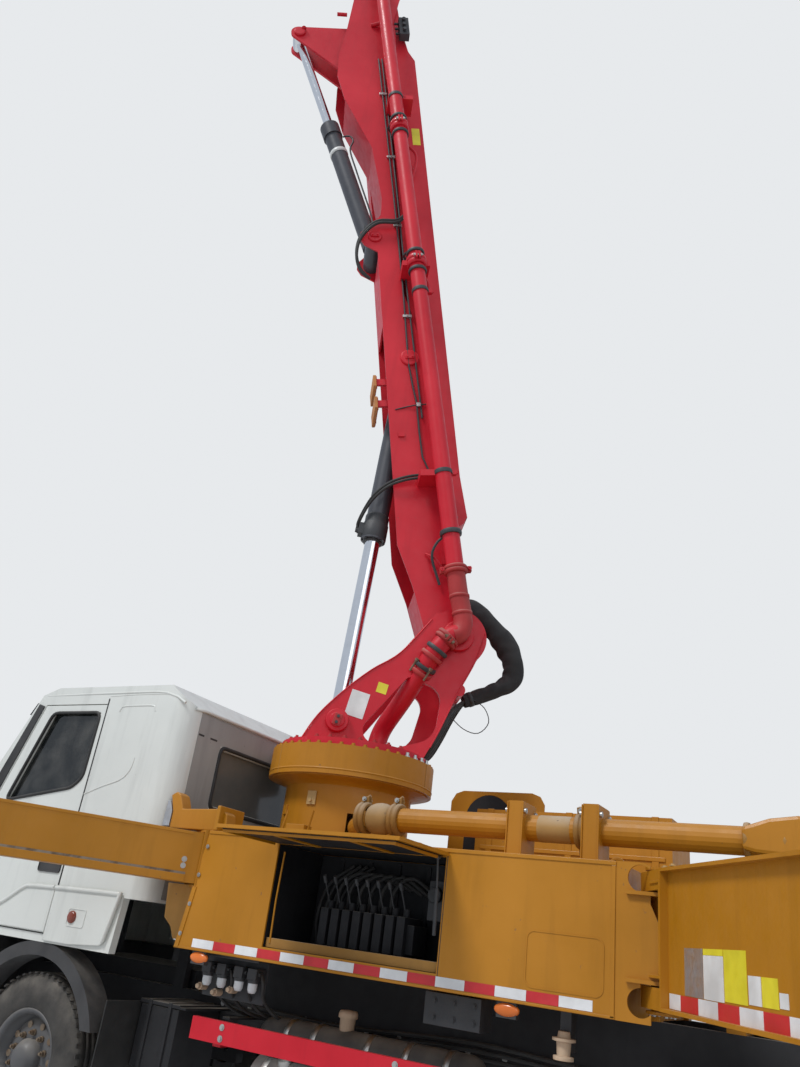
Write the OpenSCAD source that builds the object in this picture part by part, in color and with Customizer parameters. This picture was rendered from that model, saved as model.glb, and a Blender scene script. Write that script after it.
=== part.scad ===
// Concrete pump truck: a 6x4 carrier with a four-section placing boom raised on its turret.
// Millimetres. +X runs to the rear, -Y is the driver's side, +Z is up, and Z = 0 is the ground.

/* [Carrier] */
// Overall length, cab face to hopper edge
body_len = 11700; // [11400:20:12000]
// Width over the cab and the side boxes
body_w = 2480; // [2440:10:2520]
// Cab face to the front axle
front_overhang = 1370; // [1340:10:1400]
// Front axle to the first rear axle
wheelbase = 4630; // [4580:10:4700]
// Spacing of the two rear axles
bogie = 1310; // [1280:10:1360]
// Underside of the chassis rails
rail_z = 770; // [750:5:790]
// Height of the chassis rails
rail_h = 290; // [260:10:300]
// Outside spacing of the chassis rails
rail_w = 860; // [820:10:880]
// Top of the sub-frame that carries the pump
subframe_top = 1340; // [1320:5:1350]

/* [Wheels] */
// Tyre radius
tyre_r = 530; // [515:5:535]
// Tyre width
tyre_w = 285; // [270:5:295]
// Rim radius
rim_r = 292; // [280:2:300]
// Front wheel centre to the middle of the truck
front_track = 1025; // [1010:5:1035]
// Middle of a twin pair to the middle of the truck
rear_track = 905; // [895:5:915]
// Centre spacing of twin tyres
twin_gap = 325; // [315:5:330]

/* [Cab] */
// Cab length
cab_len = 2250; // [2200:10:2280]
// Roof height above the ground
cab_top = 3120; // [3080:10:3160]
// Cab floor height
cab_floor = 1250; // [1240:5:1270]
// Underside of the cab behind the wheel arch
cab_under = 1600; // [1580:5:1620]
// Cab wall and door thickness
wall_t = 60; // [50:5:70]
// Front edge of the door, behind the cab face
door_front = 380; // [360:10:400]
// Length of the door
door_len = 1010; // [980:10:1040]
// Running gap around a door
door_gap = 8; // [6:1:12]
// Glass thickness
glass_t = 8; // [6:1:10]

/* [Deck] */
// Lower edge of the side boxes
box_z0 = 1354; // [1350:2:1360]
// Upper face of the deck
deck_z = 2085; // [2070:5:2100]
// Front end of the side boxes, behind the cab
box_gap = 470; // [440:10:500]
// Length of the side boxes
box_len = 2770; // [2720:10:2800]
// Depth of a side box
box_depth = 560; // [520:10:600]
// Plate thickness of the side boxes
plate_t = 12; // [8:1:16]
// Length of the open compartment
bay_len = 1196; // [1160:4:1220]
// Height of the open compartment
bay_h = 600; // [560:10:620]
// Front end of the side box to the compartment
bay_from = 590; // [560:10:620]

/* [Turret] */
// Turret axis behind the cab
slew_back = 730; // [720:5:760]
// Radius of the pedestal drum
drum_r = 500; // [460:10:520]
// Radius of the pedestal flange
flange_r = 655; // [640:5:660]
// Lower and upper face of the pedestal flange
flange_z0 = 2610; // [2590:5:2630]
flange_z1 = 2830; // [2820:5:2840]
// Turn of the turret away from the rear
slew_deg = 215; // [205:5:225]
// Spacing of the turret plates, outside
turret_w = 700; // [690:10:720]
// Thickness of a turret plate
turret_t = 40; // [30:5:45]
// Boom pivot behind the turret axis, and its height
pivot_x = -700; // [-720:5:-690]
pivot_z = 3900; // [3880:10:3920]
// Foot of the main cylinder ahead of the turret axis, and its height
foot_x = 190; // [180:5:200]
foot_z = 3060; // [3050:5:3070]

/* [Boom] */
// Raised angle of the boom
luff_deg = 79.2; // [78:0.2:80]
// Length of the first section between its pivots
arm1_len = 8450; // [8400:10:8500]
// Width of the first section
arm1_w = 480; // [470:5:490]
// Width of the second section
arm2_w = 380; // [370:5:390]
// How much shorter the second section is than the first
arm_step = 1200; // [1180:5:1220]
// Length of the third section between its pivots
arm3_len = 7400; // [7350:10:7450]
// Length of the last section, pivot to tip
arm4_len = 7000; // [6950:10:7050]
// Side plate thickness of the sections
web_t = 18; // [14:1:20]
// Outer radius of the concrete pipe
pipe_r = 76; // [70:1:80]
// Wall of the concrete pipe
pipe_t = 9; // [7:1:12]

/* [Outriggers] */
// Reach of a front beam past its sleeve
front_reach = 2300; // [2250:10:2350]
// Width and height of a front beam
front_beam_w = 240; // [230:5:250]
front_beam_h = 320; // [310:5:330]
// Angle of a front beam from straight ahead
front_deg = 56.4; // [55:0.2:58]
// Length of a rear leg from its hinge to its jack
rear_reach = 2850; // [2800:10:2900]
// Angle of a rear leg from straight back
rear_deg = 59.7; // [58:0.1:61]
// Outer radius of a jack tube
jack_r = 90; // [85:1:95]
// Radius of a foot plate
foot_r = 225; // [210:5:240]

/* [Hidden] */
arm2_len = arm1_len - arm_step;
$fn = 64;

// Places along the truck
front_x = -body_len / 2;
rear_x = body_len / 2;
half_w = body_w / 2;
axle1_x = front_x + front_overhang;
axle2_x = axle1_x + wheelbase;
axle3_x = axle2_x + bogie;
cab_rear = front_x + cab_len;
box_x0 = cab_rear + box_gap;
box_x1 = box_x0 + box_len;
slew_x = cab_rear + slew_back;
rail_top = rail_z + rail_h;
rail_end = rear_x - 1500;
rail_t = 10;
pin_fit = 0.05;
seat_gap = 0.3;

// Colours, as painted
yellow = [0.86, 0.5, 0.06];
red = [0.75, 0.08, 0.16];
white = [0.88, 0.88, 0.85];
dark = [0.12, 0.12, 0.13];
steel = [0.7, 0.72, 0.74];

// An outline in X and Z, drawn across the truck from y0 to y1
module side(y0, y1) translate([0, y1, 0]) rotate([90, 0, 0]) linear_extrude(y1 - y0) children();
module plan(z0, z1) translate([0, 0, z0]) linear_extrude(z1 - z0) children();
module block(lo, hi) translate(lo) cube(hi - lo);
module both() {
    children();
    mirror([0, 1, 0]) children();
}
// A round bar or tube across the truck
module cross(x, z, r, y0, y1, bore = 0) translate([x, y1, z]) rotate([90, 0, 0]) difference() {
    cylinder(h = y1 - y0, r = r);
    if (bore > 0) translate([0, 0, -1]) cylinder(h = y1 - y0 + 2, r = bore);
}
// A round bar between two points
module bar(p, q, r, bore = 0) {
    d = q - p;
    l = norm(d);
    translate(p) rotate([0, acos(d[2] / l), atan2(d[1], d[0])]) difference() {
        cylinder(h = l, r = r);
        if (bore > 0) translate([0, 0, -1]) cylinder(h = l + 2, r = bore);
    }
}
module disc2(x, z, r) translate([x, z]) circle(r);
module upright(x, y, z0, z1, r) translate([x, y, z0]) cylinder(h = z1 - z0, r = r);

// Chassis: two channel rails, cross-members, the sub-frame rails and their cross-beams
rail_flange = 80;
sub_w = 90;
sub_x0 = box_x0 + 40;
sub_x1 = rear_x - 1350;
module frame() color(dark) {
    both() {
        difference() {
            block([front_x + 250, rail_w / 2 - rail_flange, rail_z], [rail_end, rail_w / 2, rail_top]);
            block([front_x + 240, rail_w / 2 - rail_flange - 1, rail_z + rail_t],
                [rail_end + 10, rail_w / 2 - rail_t, rail_top - rail_t]);
        }
        block([sub_x0, rail_w / 2 - sub_w, rail_top], [sub_x1, rail_w / 2, subframe_top]);
    }
    for (x = [front_x + 300, axle1_x + 900, axle2_x - 900, axle2_x + bogie / 2, rail_end - 200])
        block([x, -rail_w / 2 + rail_t, rail_z + 40], [x + 120, rail_w / 2 - rail_t, rail_top - 40]);
    for (x = [sub_x0, sub_x0 + 1500, axle2_x - 300, axle3_x + 400, sub_x1 - 120])
        block([x, -rail_w / 2 + sub_w - 1, rail_top + 60], [x + 120, rail_w / 2 - sub_w + 1, subframe_top - 40]);
    // Cab mounts, front and rear
    both() {
        block([front_x + 420, rail_w / 2 - 60, rail_top], [front_x + 520, rail_w / 2, cab_under - seat_gap]);
        block([cab_rear - 300, rail_w / 2 - 60, rail_top], [cab_rear - 200, rail_w / 2, cab_under - seat_gap]);
    }
}

// Engine and gearbox, one plain block between the rails and below the cab
module engine() color(dark) {
    block([axle1_x - 620, -330, rail_z + 20], [axle1_x + 700, 330, rail_top + 120]);
    for (x = [axle1_x - 300, axle1_x + 400]) block([x, -rail_w / 2 + rail_t + seat_gap, rail_z + 60],
        [x + 120, rail_w / 2 - rail_t - seat_gap, rail_z + 160]);
}

// Axles: the front beam and its springs, the two rear drive axles with their springs
hub_r = 150;
kingpin_y = 800;
module axles() color(dark) {
    side(-rail_w / 2 + 60, rail_w / 2 - 60) {
        translate([axle1_x - 60, tyre_r - 150]) square([120, 110]);
    }
    both() {
        side(rail_w / 2 - 70, kingpin_y - 60) translate([axle1_x - 55, tyre_r - 90]) square([110, 110]);
        block([axle1_x - 55, rail_w / 2 - 80, tyre_r - 150], [axle1_x + 55, rail_w / 2 - 60, tyre_r + 20]);
        block([axle1_x - 700, rail_w / 2 - 85, tyre_r + 20], [axle1_x + 700, rail_w / 2 - 5, tyre_r + 90]);
        for (dx = [-700, 600]) block([axle1_x + dx, rail_w / 2 - 85, tyre_r + 80],
            [axle1_x + dx + 100, rail_w / 2 - 5, rail_z - seat_gap]);
        // Fork around the kingpin
        difference() {
            block([axle1_x - 65, kingpin_y - 65, tyre_r - 120], [axle1_x + 65, kingpin_y + 65, tyre_r + 120]);
            block([axle1_x - 70, kingpin_y - 45, tyre_r - 70], [axle1_x + 70, kingpin_y + 70, tyre_r + 70]);
        }
        upright(axle1_x, kingpin_y + 20, tyre_r - 119, tyre_r + 119, 25);
    }
    for (x = [axle2_x, axle3_x]) {
        translate([x, 0, tyre_r]) rotate([90, 0, 0]) cylinder(h = 2 * rear_inner, r = 95, center = true);
        translate([x, 0, tyre_r]) sphere(r = 220, $fn = 40);
    }
    both() {
        block([axle2_x - 160, rail_w / 2 - 90, tyre_r + 60], [axle3_x + 160, rail_w / 2 - 5, tyre_r + 150]);
        block([axle2_x + bogie / 2 - 130, rail_w / 2 - 90, tyre_r + 140],
            [axle2_x + bogie / 2 + 130, rail_w / 2 - 5, rail_z - seat_gap]);
        for (x = [axle2_x, axle3_x]) cross(x, tyre_r, stub_r, rear_inner - 5, rear_track + twin_gap / 2 + 40);
    }
}
rear_inner = rear_track - twin_gap / 2 - tyre_w / 2 - 20;

// Steering knuckle: yoke on the kingpin and the stub axle that the hub turns on
stub_r = 45;
module knuckle(s) color(dark) scale([1, s, 1]) {
    difference() {
        union() {
            upright(axle1_x, kingpin_y + 20, tyre_r - 62, tyre_r + 62, 52);
            cross(axle1_x, tyre_r, stub_r, kingpin_y + 40, front_track + 60);
        }
        upright(axle1_x, kingpin_y + 20, tyre_r - 200, tyre_r + 200, 25 + pin_fit);
    }
}

// One tyre on its rim, standing across the truck at y = 0, with its face outwards
module tyre_rim(w, face) {
    shoulder = 36;
    rotate([-90, 0, 0]) {
        color(dark) rotate_extrude($fn = 72) polygon([
            [rim_r - 8, -w / 2 + 30], [rim_r + 40, -w / 2], [tyre_r - 90, -w / 2],
            [tyre_r - 8, -w / 2 + shoulder], [tyre_r, -w / 2 + shoulder + 14],
            [tyre_r, w / 2 - shoulder - 14], [tyre_r - 8, w / 2 - shoulder],
            [tyre_r - 90, w / 2], [rim_r + 40, w / 2], [rim_r - 8, w / 2 - 30]
        ]);
        color(steel) difference() {
            rotate_extrude($fn = 72) polygon([
                [stub_r + pin_fit, face - 30], [hub_r, face - 30], [rim_r - 60, face - 40 + 20],
                [rim_r - 30, -w / 2 + 20], [rim_r - 7, -w / 2 + 20], [rim_r - 7, w / 2 - 20],
                [rim_r - 20, w / 2 - 20], [rim_r - 40, face + 6], [hub_r, face - 8],
                [hub_r - 30, face + 50], [stub_r + pin_fit, face + 50]
            ]);
            for (k = [0:7]) rotate([0, 0, 45 * k]) translate([rim_r - 75, 0, face - 80]) cylinder(h = 160, r = 26);
        }
    }
}
module front_wheel(s) scale([1, s, 1]) difference() {
    translate([axle1_x, front_track, tyre_r]) tyre_rim(tyre_w, 40);
}
module twin_wheel(x, s) scale([1, s, 1]) {
    hub_in = rear_inner + 8;
    translate([x, rear_track + twin_gap / 2, tyre_r]) tyre_rim(tyre_w, -60);
    translate([x, rear_track - twin_gap / 2, tyre_r]) mirror([0, 1, 0]) tyre_rim(tyre_w, -60);
    color(steel) cross(x, tyre_r, hub_r - 20, hub_in, rear_track + twin_gap / 2 + 60, stub_r + pin_fit);
}

// Mudguards: arched sheets over the rear wheels, on brackets from the rails
guard_r = tyre_r + 110;
guard_t = 8;
module guard_arc(x) side(rear_track - 330, half_w - 10) difference() {
    translate([x, tyre_r]) circle(guard_r, $fn = 240);
    translate([x, tyre_r]) circle(guard_r - guard_t, $fn = 240);
    translate([x - 2000, tyre_r - 1300]) square([4000, 1300 + guard_r * 0.62]);
}
module mudguards() color(dark) {
    both() for (x = [axle2_x, axle3_x]) {
        guard_arc(x);
        block([x - 25, rail_w / 2 + seat_gap, tyre_r + guard_r - guard_t - 50], [x + 25, half_w - 20, tyre_r + guard_r - guard_t]);
    }
}

// Side box: a closed cabinet with walls of plate; the driver's side has the open compartment
bay_x0 = box_x0 + bay_from;
bay_x1 = bay_x0 + bay_len;
bay_z0 = box_z0 + 80;
bay_z1 = bay_z0 + bay_h;
box_in_y = half_w + 10 - box_depth;
box_out_y = half_w + 10;
slant = 110;
module box_side2() polygon([[box_x0 - slant, box_z0], [box_x1, box_z0], [box_x1, deck_z], [box_x0, deck_z]]);
module box_void2() polygon([
    [box_x0 - slant + 2.2 * plate_t, box_z0 + plate_t], [box_x1 - plate_t, box_z0 + plate_t],
    [box_x1 - plate_t, deck_z - plate_t], [box_x0 + plate_t, deck_z - plate_t]
]);
module side_box() difference() {
    side(box_in_y, box_out_y) box_side2();
    side(box_in_y + plate_t, box_out_y - plate_t) box_void2();
    sleeve_cut();
    // Clearance for the beam sleeve inside the box, open to the centre bay
    block([box_x0 - slant - 1, box_in_y - 1, box_z0 + 300], [box_x0 + 700, box_in_y + plate_t + 1, deck_z - plate_t]);
}
module deck_body() color(yellow) difference() {
    union() {
        both() side_box();
        // Deck plate between the boxes and the two cross bulkheads that rest on the sub-frame
        difference() {
            block([box_x0, -box_in_y - 1, deck_z - plate_t], [box_x1, box_in_y + 1, deck_z]);
            both() sleeve_cut();
        }
        for (x = [box_x0 + 1560, box_x1 - 40]) difference() {
            block([x, -box_in_y - 1, subframe_top + seat_gap], [x + 40, box_in_y + 1, deck_z - 1]);
            block([x - 1, -box_in_y + 80, subframe_top + 120], [x + 41, box_in_y - 80, deck_z - 120]);
        }
        // Hinge bearers of the rear legs, and the hinges of the lid
        both() rear_bearer();
        lid_pins();
    }
    // The compartment on the driver's side
    block([bay_x0, -box_out_y - 1, bay_z0], [bay_x1, -box_out_y + plate_t + 1, bay_z1]);
}
module lid_pins() for (x = lid_hinges) {
    block([x - 30, -box_out_y - lid_out - 8, lid_z - 8], [x - 8, -box_out_y - seat_gap, lid_z + 8]);
    translate([x - 10, -box_out_y - lid_out, lid_z]) rotate([0, 90, 0]) cylinder(h = 90, r = 5);
}
lid_hinges = [bay_x0 + 120, bay_x1 - 220];
lid_out = 10;

// Front beam line on the driver's side, as a frame along the beam
beam_x = box_x0 - 150;
beam_y = half_w - 60;
sleeve_t = 16;
beam_z = deck_z - sleeve_t - 6 - front_beam_h / 2;
sleeve_len = 1330;
beam_in = 500;
beam_fit = 6;
pad_fit = 0.3;
module along_front(s) scale([1, s, 1]) translate([beam_x, beam_y, beam_z]) rotate([0, 0, 180 - front_deg]) children();
sleeve_w = front_beam_w + 2 * sleeve_t + 2 * beam_fit;
sleeve_h = front_beam_h + 2 * sleeve_t + 2 * beam_fit;
module sleeve_cut() along_front(1)
    block([-sleeve_len - seat_gap, -sleeve_w / 2 - seat_gap, -sleeve_h / 2 - seat_gap],
        [400, sleeve_w / 2 + seat_gap, sleeve_h / 2 + 1]);
module front_sleeve(s) difference() {
    along_front(s) block([-sleeve_len, -sleeve_w / 2, -sleeve_h / 2], [0, sleeve_w / 2, sleeve_h / 2]);
    along_front(s) block([-sleeve_len + sleeve_t, -front_beam_w / 2 - beam_fit, -front_beam_h / 2 - beam_fit],
        [1, front_beam_w / 2 + beam_fit, front_beam_h / 2 + beam_fit]);
    along_front(-s) block([-sleeve_len + sleeve_t, -front_beam_w / 2 - beam_fit, -front_beam_h / 2 - beam_fit],
        [1, front_beam_w / 2 + beam_fit, front_beam_h / 2 + beam_fit]);
}
module front_beam(s) color(yellow) {
    along_front(s) {
        difference() {
            block([-beam_in, -front_beam_w / 2, -front_beam_h / 2],
                [front_reach - jack_r - 30, front_beam_w / 2, front_beam_h / 2]);
            block([-beam_in - 1, -front_beam_w / 2 + 14, -front_beam_h / 2 + 14],
                [front_reach - jack_r - 60, front_beam_w / 2 - 14, front_beam_h / 2 - 14]);
        }
        // Wear pads that run in the sleeve
        for (x = [-beam_in, -120]) block([x, -front_beam_w / 2 - beam_fit + pad_fit, -front_beam_h / 2 - beam_fit + pad_fit],
            [x + 60, front_beam_w / 2 + beam_fit - pad_fit, front_beam_h / 2 + beam_fit - pad_fit]);
        // Jack sleeve at the outer end
        translate([front_reach, 0, -420]) difference() {
            cylinder(h = 620, r = jack_r + 32);
            translate([0, 0, -1]) cylinder(h = 640, r = jack_r + pin_fit);
        }
    }
}
jack_stroke = 800;
module jack(top) {
    color(steel) upright(0, 0, 60, top, jack_r);
    color(dark) {
        upright(0, 0, 0, 40, foot_r);
        upright(0, 0, 39, 110, jack_r + 30);
    }
}
module front_jack(s) scale([1, s, 1])
    translate([beam_x - front_reach * cos(front_deg), beam_y + front_reach * sin(front_deg), 0]) jack(beam_z + 190);

// Rear leg: two lugs hinged on a pin behind the side box, then a flanged box beam to its jack
rear_pin_x = box_x1 + 190;
rear_pin_y = half_w - 170;
rear_pin_r = 55;
leg_w = 230;
leg_web_w = 150;
leg_z0 = 1425;
leg_z1 = 2050;
lug_h = 95;
lug_r = 105;
leg_root = 320;
ledge_t = 18;
module bearer_plate() difference() {
    // Plate in line with the side box, notched where the lugs pass
    polygon([
        [box_x1 - 2, box_z0], [box_x1 + 175, box_z0], [box_x1 + 175, leg_z0], [box_x1 + 235, leg_z0 + lug_h + 10],
        [box_x1 + 235, 1760], [box_x1 + 175, 1890], [box_x1 + 175, leg_z1 + 20], [box_x1 + 140, deck_z], [box_x1 - 2, deck_z]
    ]);
    disc2(box_x1 + 125, leg_z0 + 18, 65);
    disc2(box_x1 + 125, leg_z1 - 40, 65);
    translate([box_x1 + 125, leg_z0 - 20]) square([200, lug_h + 30]);
    translate([box_x1 + 125, leg_z1 - lug_h - 10]) square([200, lug_h + 20]);
}
module rear_bearer() {
    z_low = leg_z0 + lug_h + 8;
    z_high = leg_z1 - lug_h - 8;
    side(box_out_y - plate_t, box_out_y) bearer_plate();
    for (z = [z_low, z_high - ledge_t]) {
        plan(z, z + ledge_t) polygon([
            [box_x1 - 2, box_in_y], [rear_pin_x + 80, box_in_y], [rear_pin_x + 95, rear_pin_y],
            [rear_pin_x + 45, box_out_y + 25], [box_x1 + 55, box_out_y + 25], [box_x1 + 55, box_out_y - 5],
            [box_x1 - 2, box_out_y - 5]
        ]);
    }
    upright(rear_pin_x, rear_pin_y, z_low, z_high, rear_pin_r + 25);
    upright(rear_pin_x, rear_pin_y, leg_z0 - 20, leg_z1 + 20, rear_pin_r);
    block([box_x1 - 2, box_in_y, box_z0 + 5], [box_x1 + 25, box_out_y, leg_z1]);
    block([box_x1, rail_w / 2, leg_z0 - 50], [box_x1 + 25, box_in_y + 1, leg_z1]);
    block([box_x1, rail_w / 2 - sub_w, subframe_top + seat_gap], [box_x1 + 25, rail_w / 2, leg_z0]);
}
module along_rear(s) scale([1, s, 1]) translate([rear_pin_x, rear_pin_y, 0]) rotate([0, 0, rear_deg]) children();
module leg_line(t) {
    x1 = rear_reach - jack_r - 20;
    polygon([
        [leg_root + t, leg_z0 + t], [1900, leg_z0 + 10 + t], [x1 - t, leg_z0 + 90 + t],
        [x1 - t, leg_z1 - 200 - t], [1900, leg_z1 - 45 - t], [leg_root + t, leg_z1 - t]
    ]);
}
module rear_leg(s) color(yellow) along_rear(s) {
    difference() {
        union() {
            difference() {
                side(-leg_w / 2, leg_w / 2) leg_line(0);
                side(-leg_w / 2 - 1, leg_w / 2 + 1) leg_line(16);
            }
            side(-leg_web_w / 2, leg_web_w / 2) leg_line(8);
            for (z = [leg_z0, leg_z1 - lug_h]) {
                upright(0, 0, z, z + lug_h, lug_r);
                block([0, -lug_r, z], [leg_root + 5, lug_r, z + lug_h]);
            }
        }
        upright(0, 0, leg_z0 - 10, leg_z1 + 10, rear_pin_r + pin_fit);
        side(-leg_web_w / 2 + 12, leg_web_w / 2 - 12) leg_line(20);
    }
    translate([rear_reach, 0, leg_z0 - 120]) difference() {
        cylinder(h = 640, r = jack_r + 32);
        translate([0, 0, -1]) cylinder(h = 642, r = jack_r + pin_fit);
    }
}
module rear_jack(s) scale([1, s, 1])
    translate([rear_pin_x + rear_reach * cos(rear_deg), rear_pin_y + rear_reach * sin(rear_deg), 0])
        jack(leg_z1 - 100);

// Deck gear: the front beam sleeves on their stand, and the two posts that clamp the pipe
post_y = 930;
post_x = [box_x0 + 2080, box_x0 + 2540];
pipe_y = post_y - 60;
pipe_z = deck_z + 190;
module deck_gear() color(yellow) {
    front_sleeve(-1);
    front_sleeve(1);
    block([slew_x - 360, -rail_w / 2, subframe_top + seat_gap], [slew_x + 560, rail_w / 2, subframe_top + 60]);
    both() for (x = [slew_x - 300, slew_x + 100])
        block([x, 180, subframe_top + 59], [x + 200, rail_w / 2 - 10, beam_z - sleeve_h / 2 + 1]);
    for (x = post_x) difference() {
        block([x - 45, -post_y - 45, deck_z + seat_gap], [x + 45, -post_y + 165, deck_z + 330]);
        translate([x - 50, -pipe_y, pipe_z]) rotate([0, 90, 0]) cylinder(h = 100, r = pipe_r + seat_gap);
        block([x - 46, -post_y - 20, pipe_z + 95], [x + 46, -post_y + 140, pipe_z + 105]);
    }
}

// A round pipe or hose swept along a line of points whose corners are rounded
function unit(v) = v / norm(v);
function corner(a, b, c, d, n) = let (p = b + unit(a - b) * d, q = b + unit(c - b) * d)
    [for (k = [0:n]) let (t = k / n) (1 - t) * (1 - t) * p + 2 * t * (1 - t) * b + t * t * q];
function rounded(p, d, n) = [
    p[0], for (i = [1:len(p) - 2]) each corner(p[i - 1], p[i], p[i + 1], d, n), p[len(p) - 1]
];
module pipe_line(route, r, turn_d, ref, sides = 20, steps = 6) {
    p = rounded(route, turn_d, steps);
    last = len(p) - 1;
    dirs = [for (i = [0:last]) unit(p[min(i + 1, last)] - p[max(i - 1, 0)])];
    rings = [for (i = [0:last]) let (u = unit(cross(ref, dirs[i])), v = cross(dirs[i], u))
        for (k = [0:sides - 1]) p[i] + r * (cos(360 * k / sides) * u + sin(360 * k / sides) * v)];
    walls = [for (i = [0:last - 1]) for (k = [0:sides - 1]) let (a = i * sides + k, b = i * sides + (k + 1) % sides)
        each [[a, a + sides, b + sides], [a, b + sides, b]]];
    polyhedron(rings, concat([[for (k = [0:sides - 1]) k]], walls, [[for (k = [sides - 1:-1:0]) last * sides + k]]));
}

// Deck pipe: from the hopper along the driver's side, then in to the drum
module deck_pipe() color(yellow) pipe_line([
    [slew_x + (drum_r + seat_gap) * cos(46), -(drum_r + seat_gap) * sin(46), pipe_z],
    [slew_x + 790, -pipe_y, pipe_z],
    [box_x1 + 800, -pipe_y, pipe_z],
    [rear_x - 1750, -650, deck_z - 60],
    [rear_x - 1500, -600, 1420],
    [rear_x - hopper_len - seat_gap, -600, 1420]
], pipe_r, 160, [0, 0, 1]);

// Pedestal: drum and flange that carry the turret
module pedestal() color(yellow) translate([slew_x, 0, 0]) {
    difference() {
        union() {
            translate([0, 0, deck_z + seat_gap]) cylinder(h = 20, r = drum_r + 60);
            translate([0, 0, deck_z + seat_gap]) cylinder(h = flange_z0 - deck_z, r = drum_r);
            translate([0, 0, flange_z0]) cylinder(h = flange_z1 - flange_z0, r = flange_r);
        }
        translate([0, 0, deck_z - 1]) cylinder(h = flange_z0 - deck_z, r = drum_r - 20);
        translate([drum_r * cos(46), -drum_r * sin(46), pipe_z]) rotate([0, 0, -46])
            block([-40, -90, -90], [50, 90, 90]);
    }
    translate([0, 0, flange_z1 - 1]) cylinder(h = 61, r = spigot_r);
}
spigot_r = 200;

// Far-side tank on the deck, and the round-topped housing behind the turret
module far_tank() color(yellow) {
    block([slew_x + 850, 620, deck_z + seat_gap], [box_x1 - 120, half_w - 20, deck_z + 520]);
}

// Red side guards under the boxes, on hangers from the rails
module side_guards() color(red) {
    both() {
        block([box_x0 + 140, half_w - 60, 880], [axle2_x - tyre_r - 160, half_w - 20, 1000]);
        for (x = [box_x0 + 300, box_x0 + 1500]) {
            block([x, rail_w / 2 + seat_gap, 860], [x + 60, half_w - 60, 900]);
        }
    }
}

// Fuel and air tanks hung on the rails
module tanks() color(dark) {
    both() {
        translate([box_x0 + 420, rail_w / 2 + 330, 640]) rotate([0, 90, 0]) cylinder(h = 900, r = 200);
        for (x = [box_x0 + 520, box_x0 + 1150])
            block([x, rail_w / 2 + seat_gap, 600], [x + 60, rail_w / 2 + 330, 640]);
        block([box_x0 + 520, rail_w / 2 + seat_gap, 600], [box_x0 + 580, rail_w / 2 + 20, 850]);
        block([box_x0 + 1150, rail_w / 2 + seat_gap, 600], [box_x0 + 1210, rail_w / 2 + 20, 850]);
    }
}

// Concrete pump: two delivery cylinders over the sub-frame, with their water box
module pump_cylinders() color(yellow) {
    both() bar([box_x1 + 500, 190, 1560], [rear_x - hopper_len - seat_gap, 190, 1560], 130);
    block([box_x1 + 300, -340, 1380], [box_x1 + 560, 340, 1760]);
    block([axle3_x + 300, -rail_w / 2, subframe_top + seat_gap], [axle3_x + 420, rail_w / 2, 1500]);
    block([box_x1 + 380, -rail_w / 2, subframe_top + seat_gap], [box_x1 + 480, rail_w / 2, 1400]);
}

// Hopper: an open box with sloping sides at the rear, with the outlet elbow to the deck pipe
hopper_len = 1150;
hopper_top = 1680;
hopper_t = 12;
module hopper_shape(inset) {
    side(-half_w + 100 + inset, half_w - 100 - inset) polygon([
        [rear_x - hopper_len + inset, hopper_top - 60 + (inset > 0 ? 200 : 0)],
        [rear_x - hopper_len + inset, 1250 + inset], [rear_x - 780 + inset / 2, 800 + inset],
        [rear_x - 320 - inset / 2, 800 + inset], [rear_x - inset, 1350],
        [rear_x - inset, hopper_top - 60 + (inset > 0 ? 200 : 0)]
    ]);
}
module hopper() color(yellow) {
    difference() {
        hopper_shape(0);
        hopper_shape(hopper_t);
    }
    both() block([sub_x1 + seat_gap, rail_w / 2 - sub_w, 1100], [rear_x - hopper_len + 1, rail_w / 2, 1300]);
    // Grate hinge pins on the front edge
    both() {
        block([grate_x - 20, half_w - 290, grate_z - 1], [grate_x, half_w - 270, grate_z + 19]);
        cross(grate_x, grate_z + 19, 10, half_w - 290, half_w - 270);
        cross(grate_x, grate_z + 19, 8, half_w - 271, half_w - 200);
    }
}
grate_z = hopper_top - 60;
grate_x = rear_x - hopper_len + 25;
module hopper_grate() color(dark) {
    both() difference() {
        union() {
            cross(grate_x, grate_z + 19, 15, half_w - 268, half_w - 205);
            block([grate_x, half_w - 268, grate_z + 10], [grate_x + 40, half_w - 205, grate_z + 28]);
        }
        cross(grate_x, grate_z + 19, 8 + pin_fit, half_w - 300, half_w - 190);
    }
    x0 = rear_x - hopper_len + 40;
    x1 = rear_x - 40;
    y1 = half_w - 150;
    block([x1 - 60, -y1, grate_z + seat_gap], [x1 + 30, y1, grate_z + 5]);
    for (k = [0:14]) block([x0, -y1 + k * y1 / 7 - 6, grate_z + 4], [x1, -y1 + k * y1 / 7 + 6, grate_z + 34]);
    for (x = [x0, (x0 + x1) / 2 - 15, x1 - 30]) block([x, -y1 - 6, grate_z + 4], [x + 30, y1 + 6, grate_z + 34]);
}

// Lamps: side markers under the boxes and the tail lamps
module lamps() color([0.9, 0.35, 0.1]) {
    both() for (x = [box_x0 + 100, box_x0 + 2200])
        block([x - 55, half_w - 45, box_z0 - 75], [x + 55, half_w - 5, box_z0 - seat_gap]);
    both() block([rail_end + seat_gap, rail_w / 2 - 70, rail_z + 60], [rail_end + 60, rail_w / 2, rail_z + 220]);
}

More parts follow.
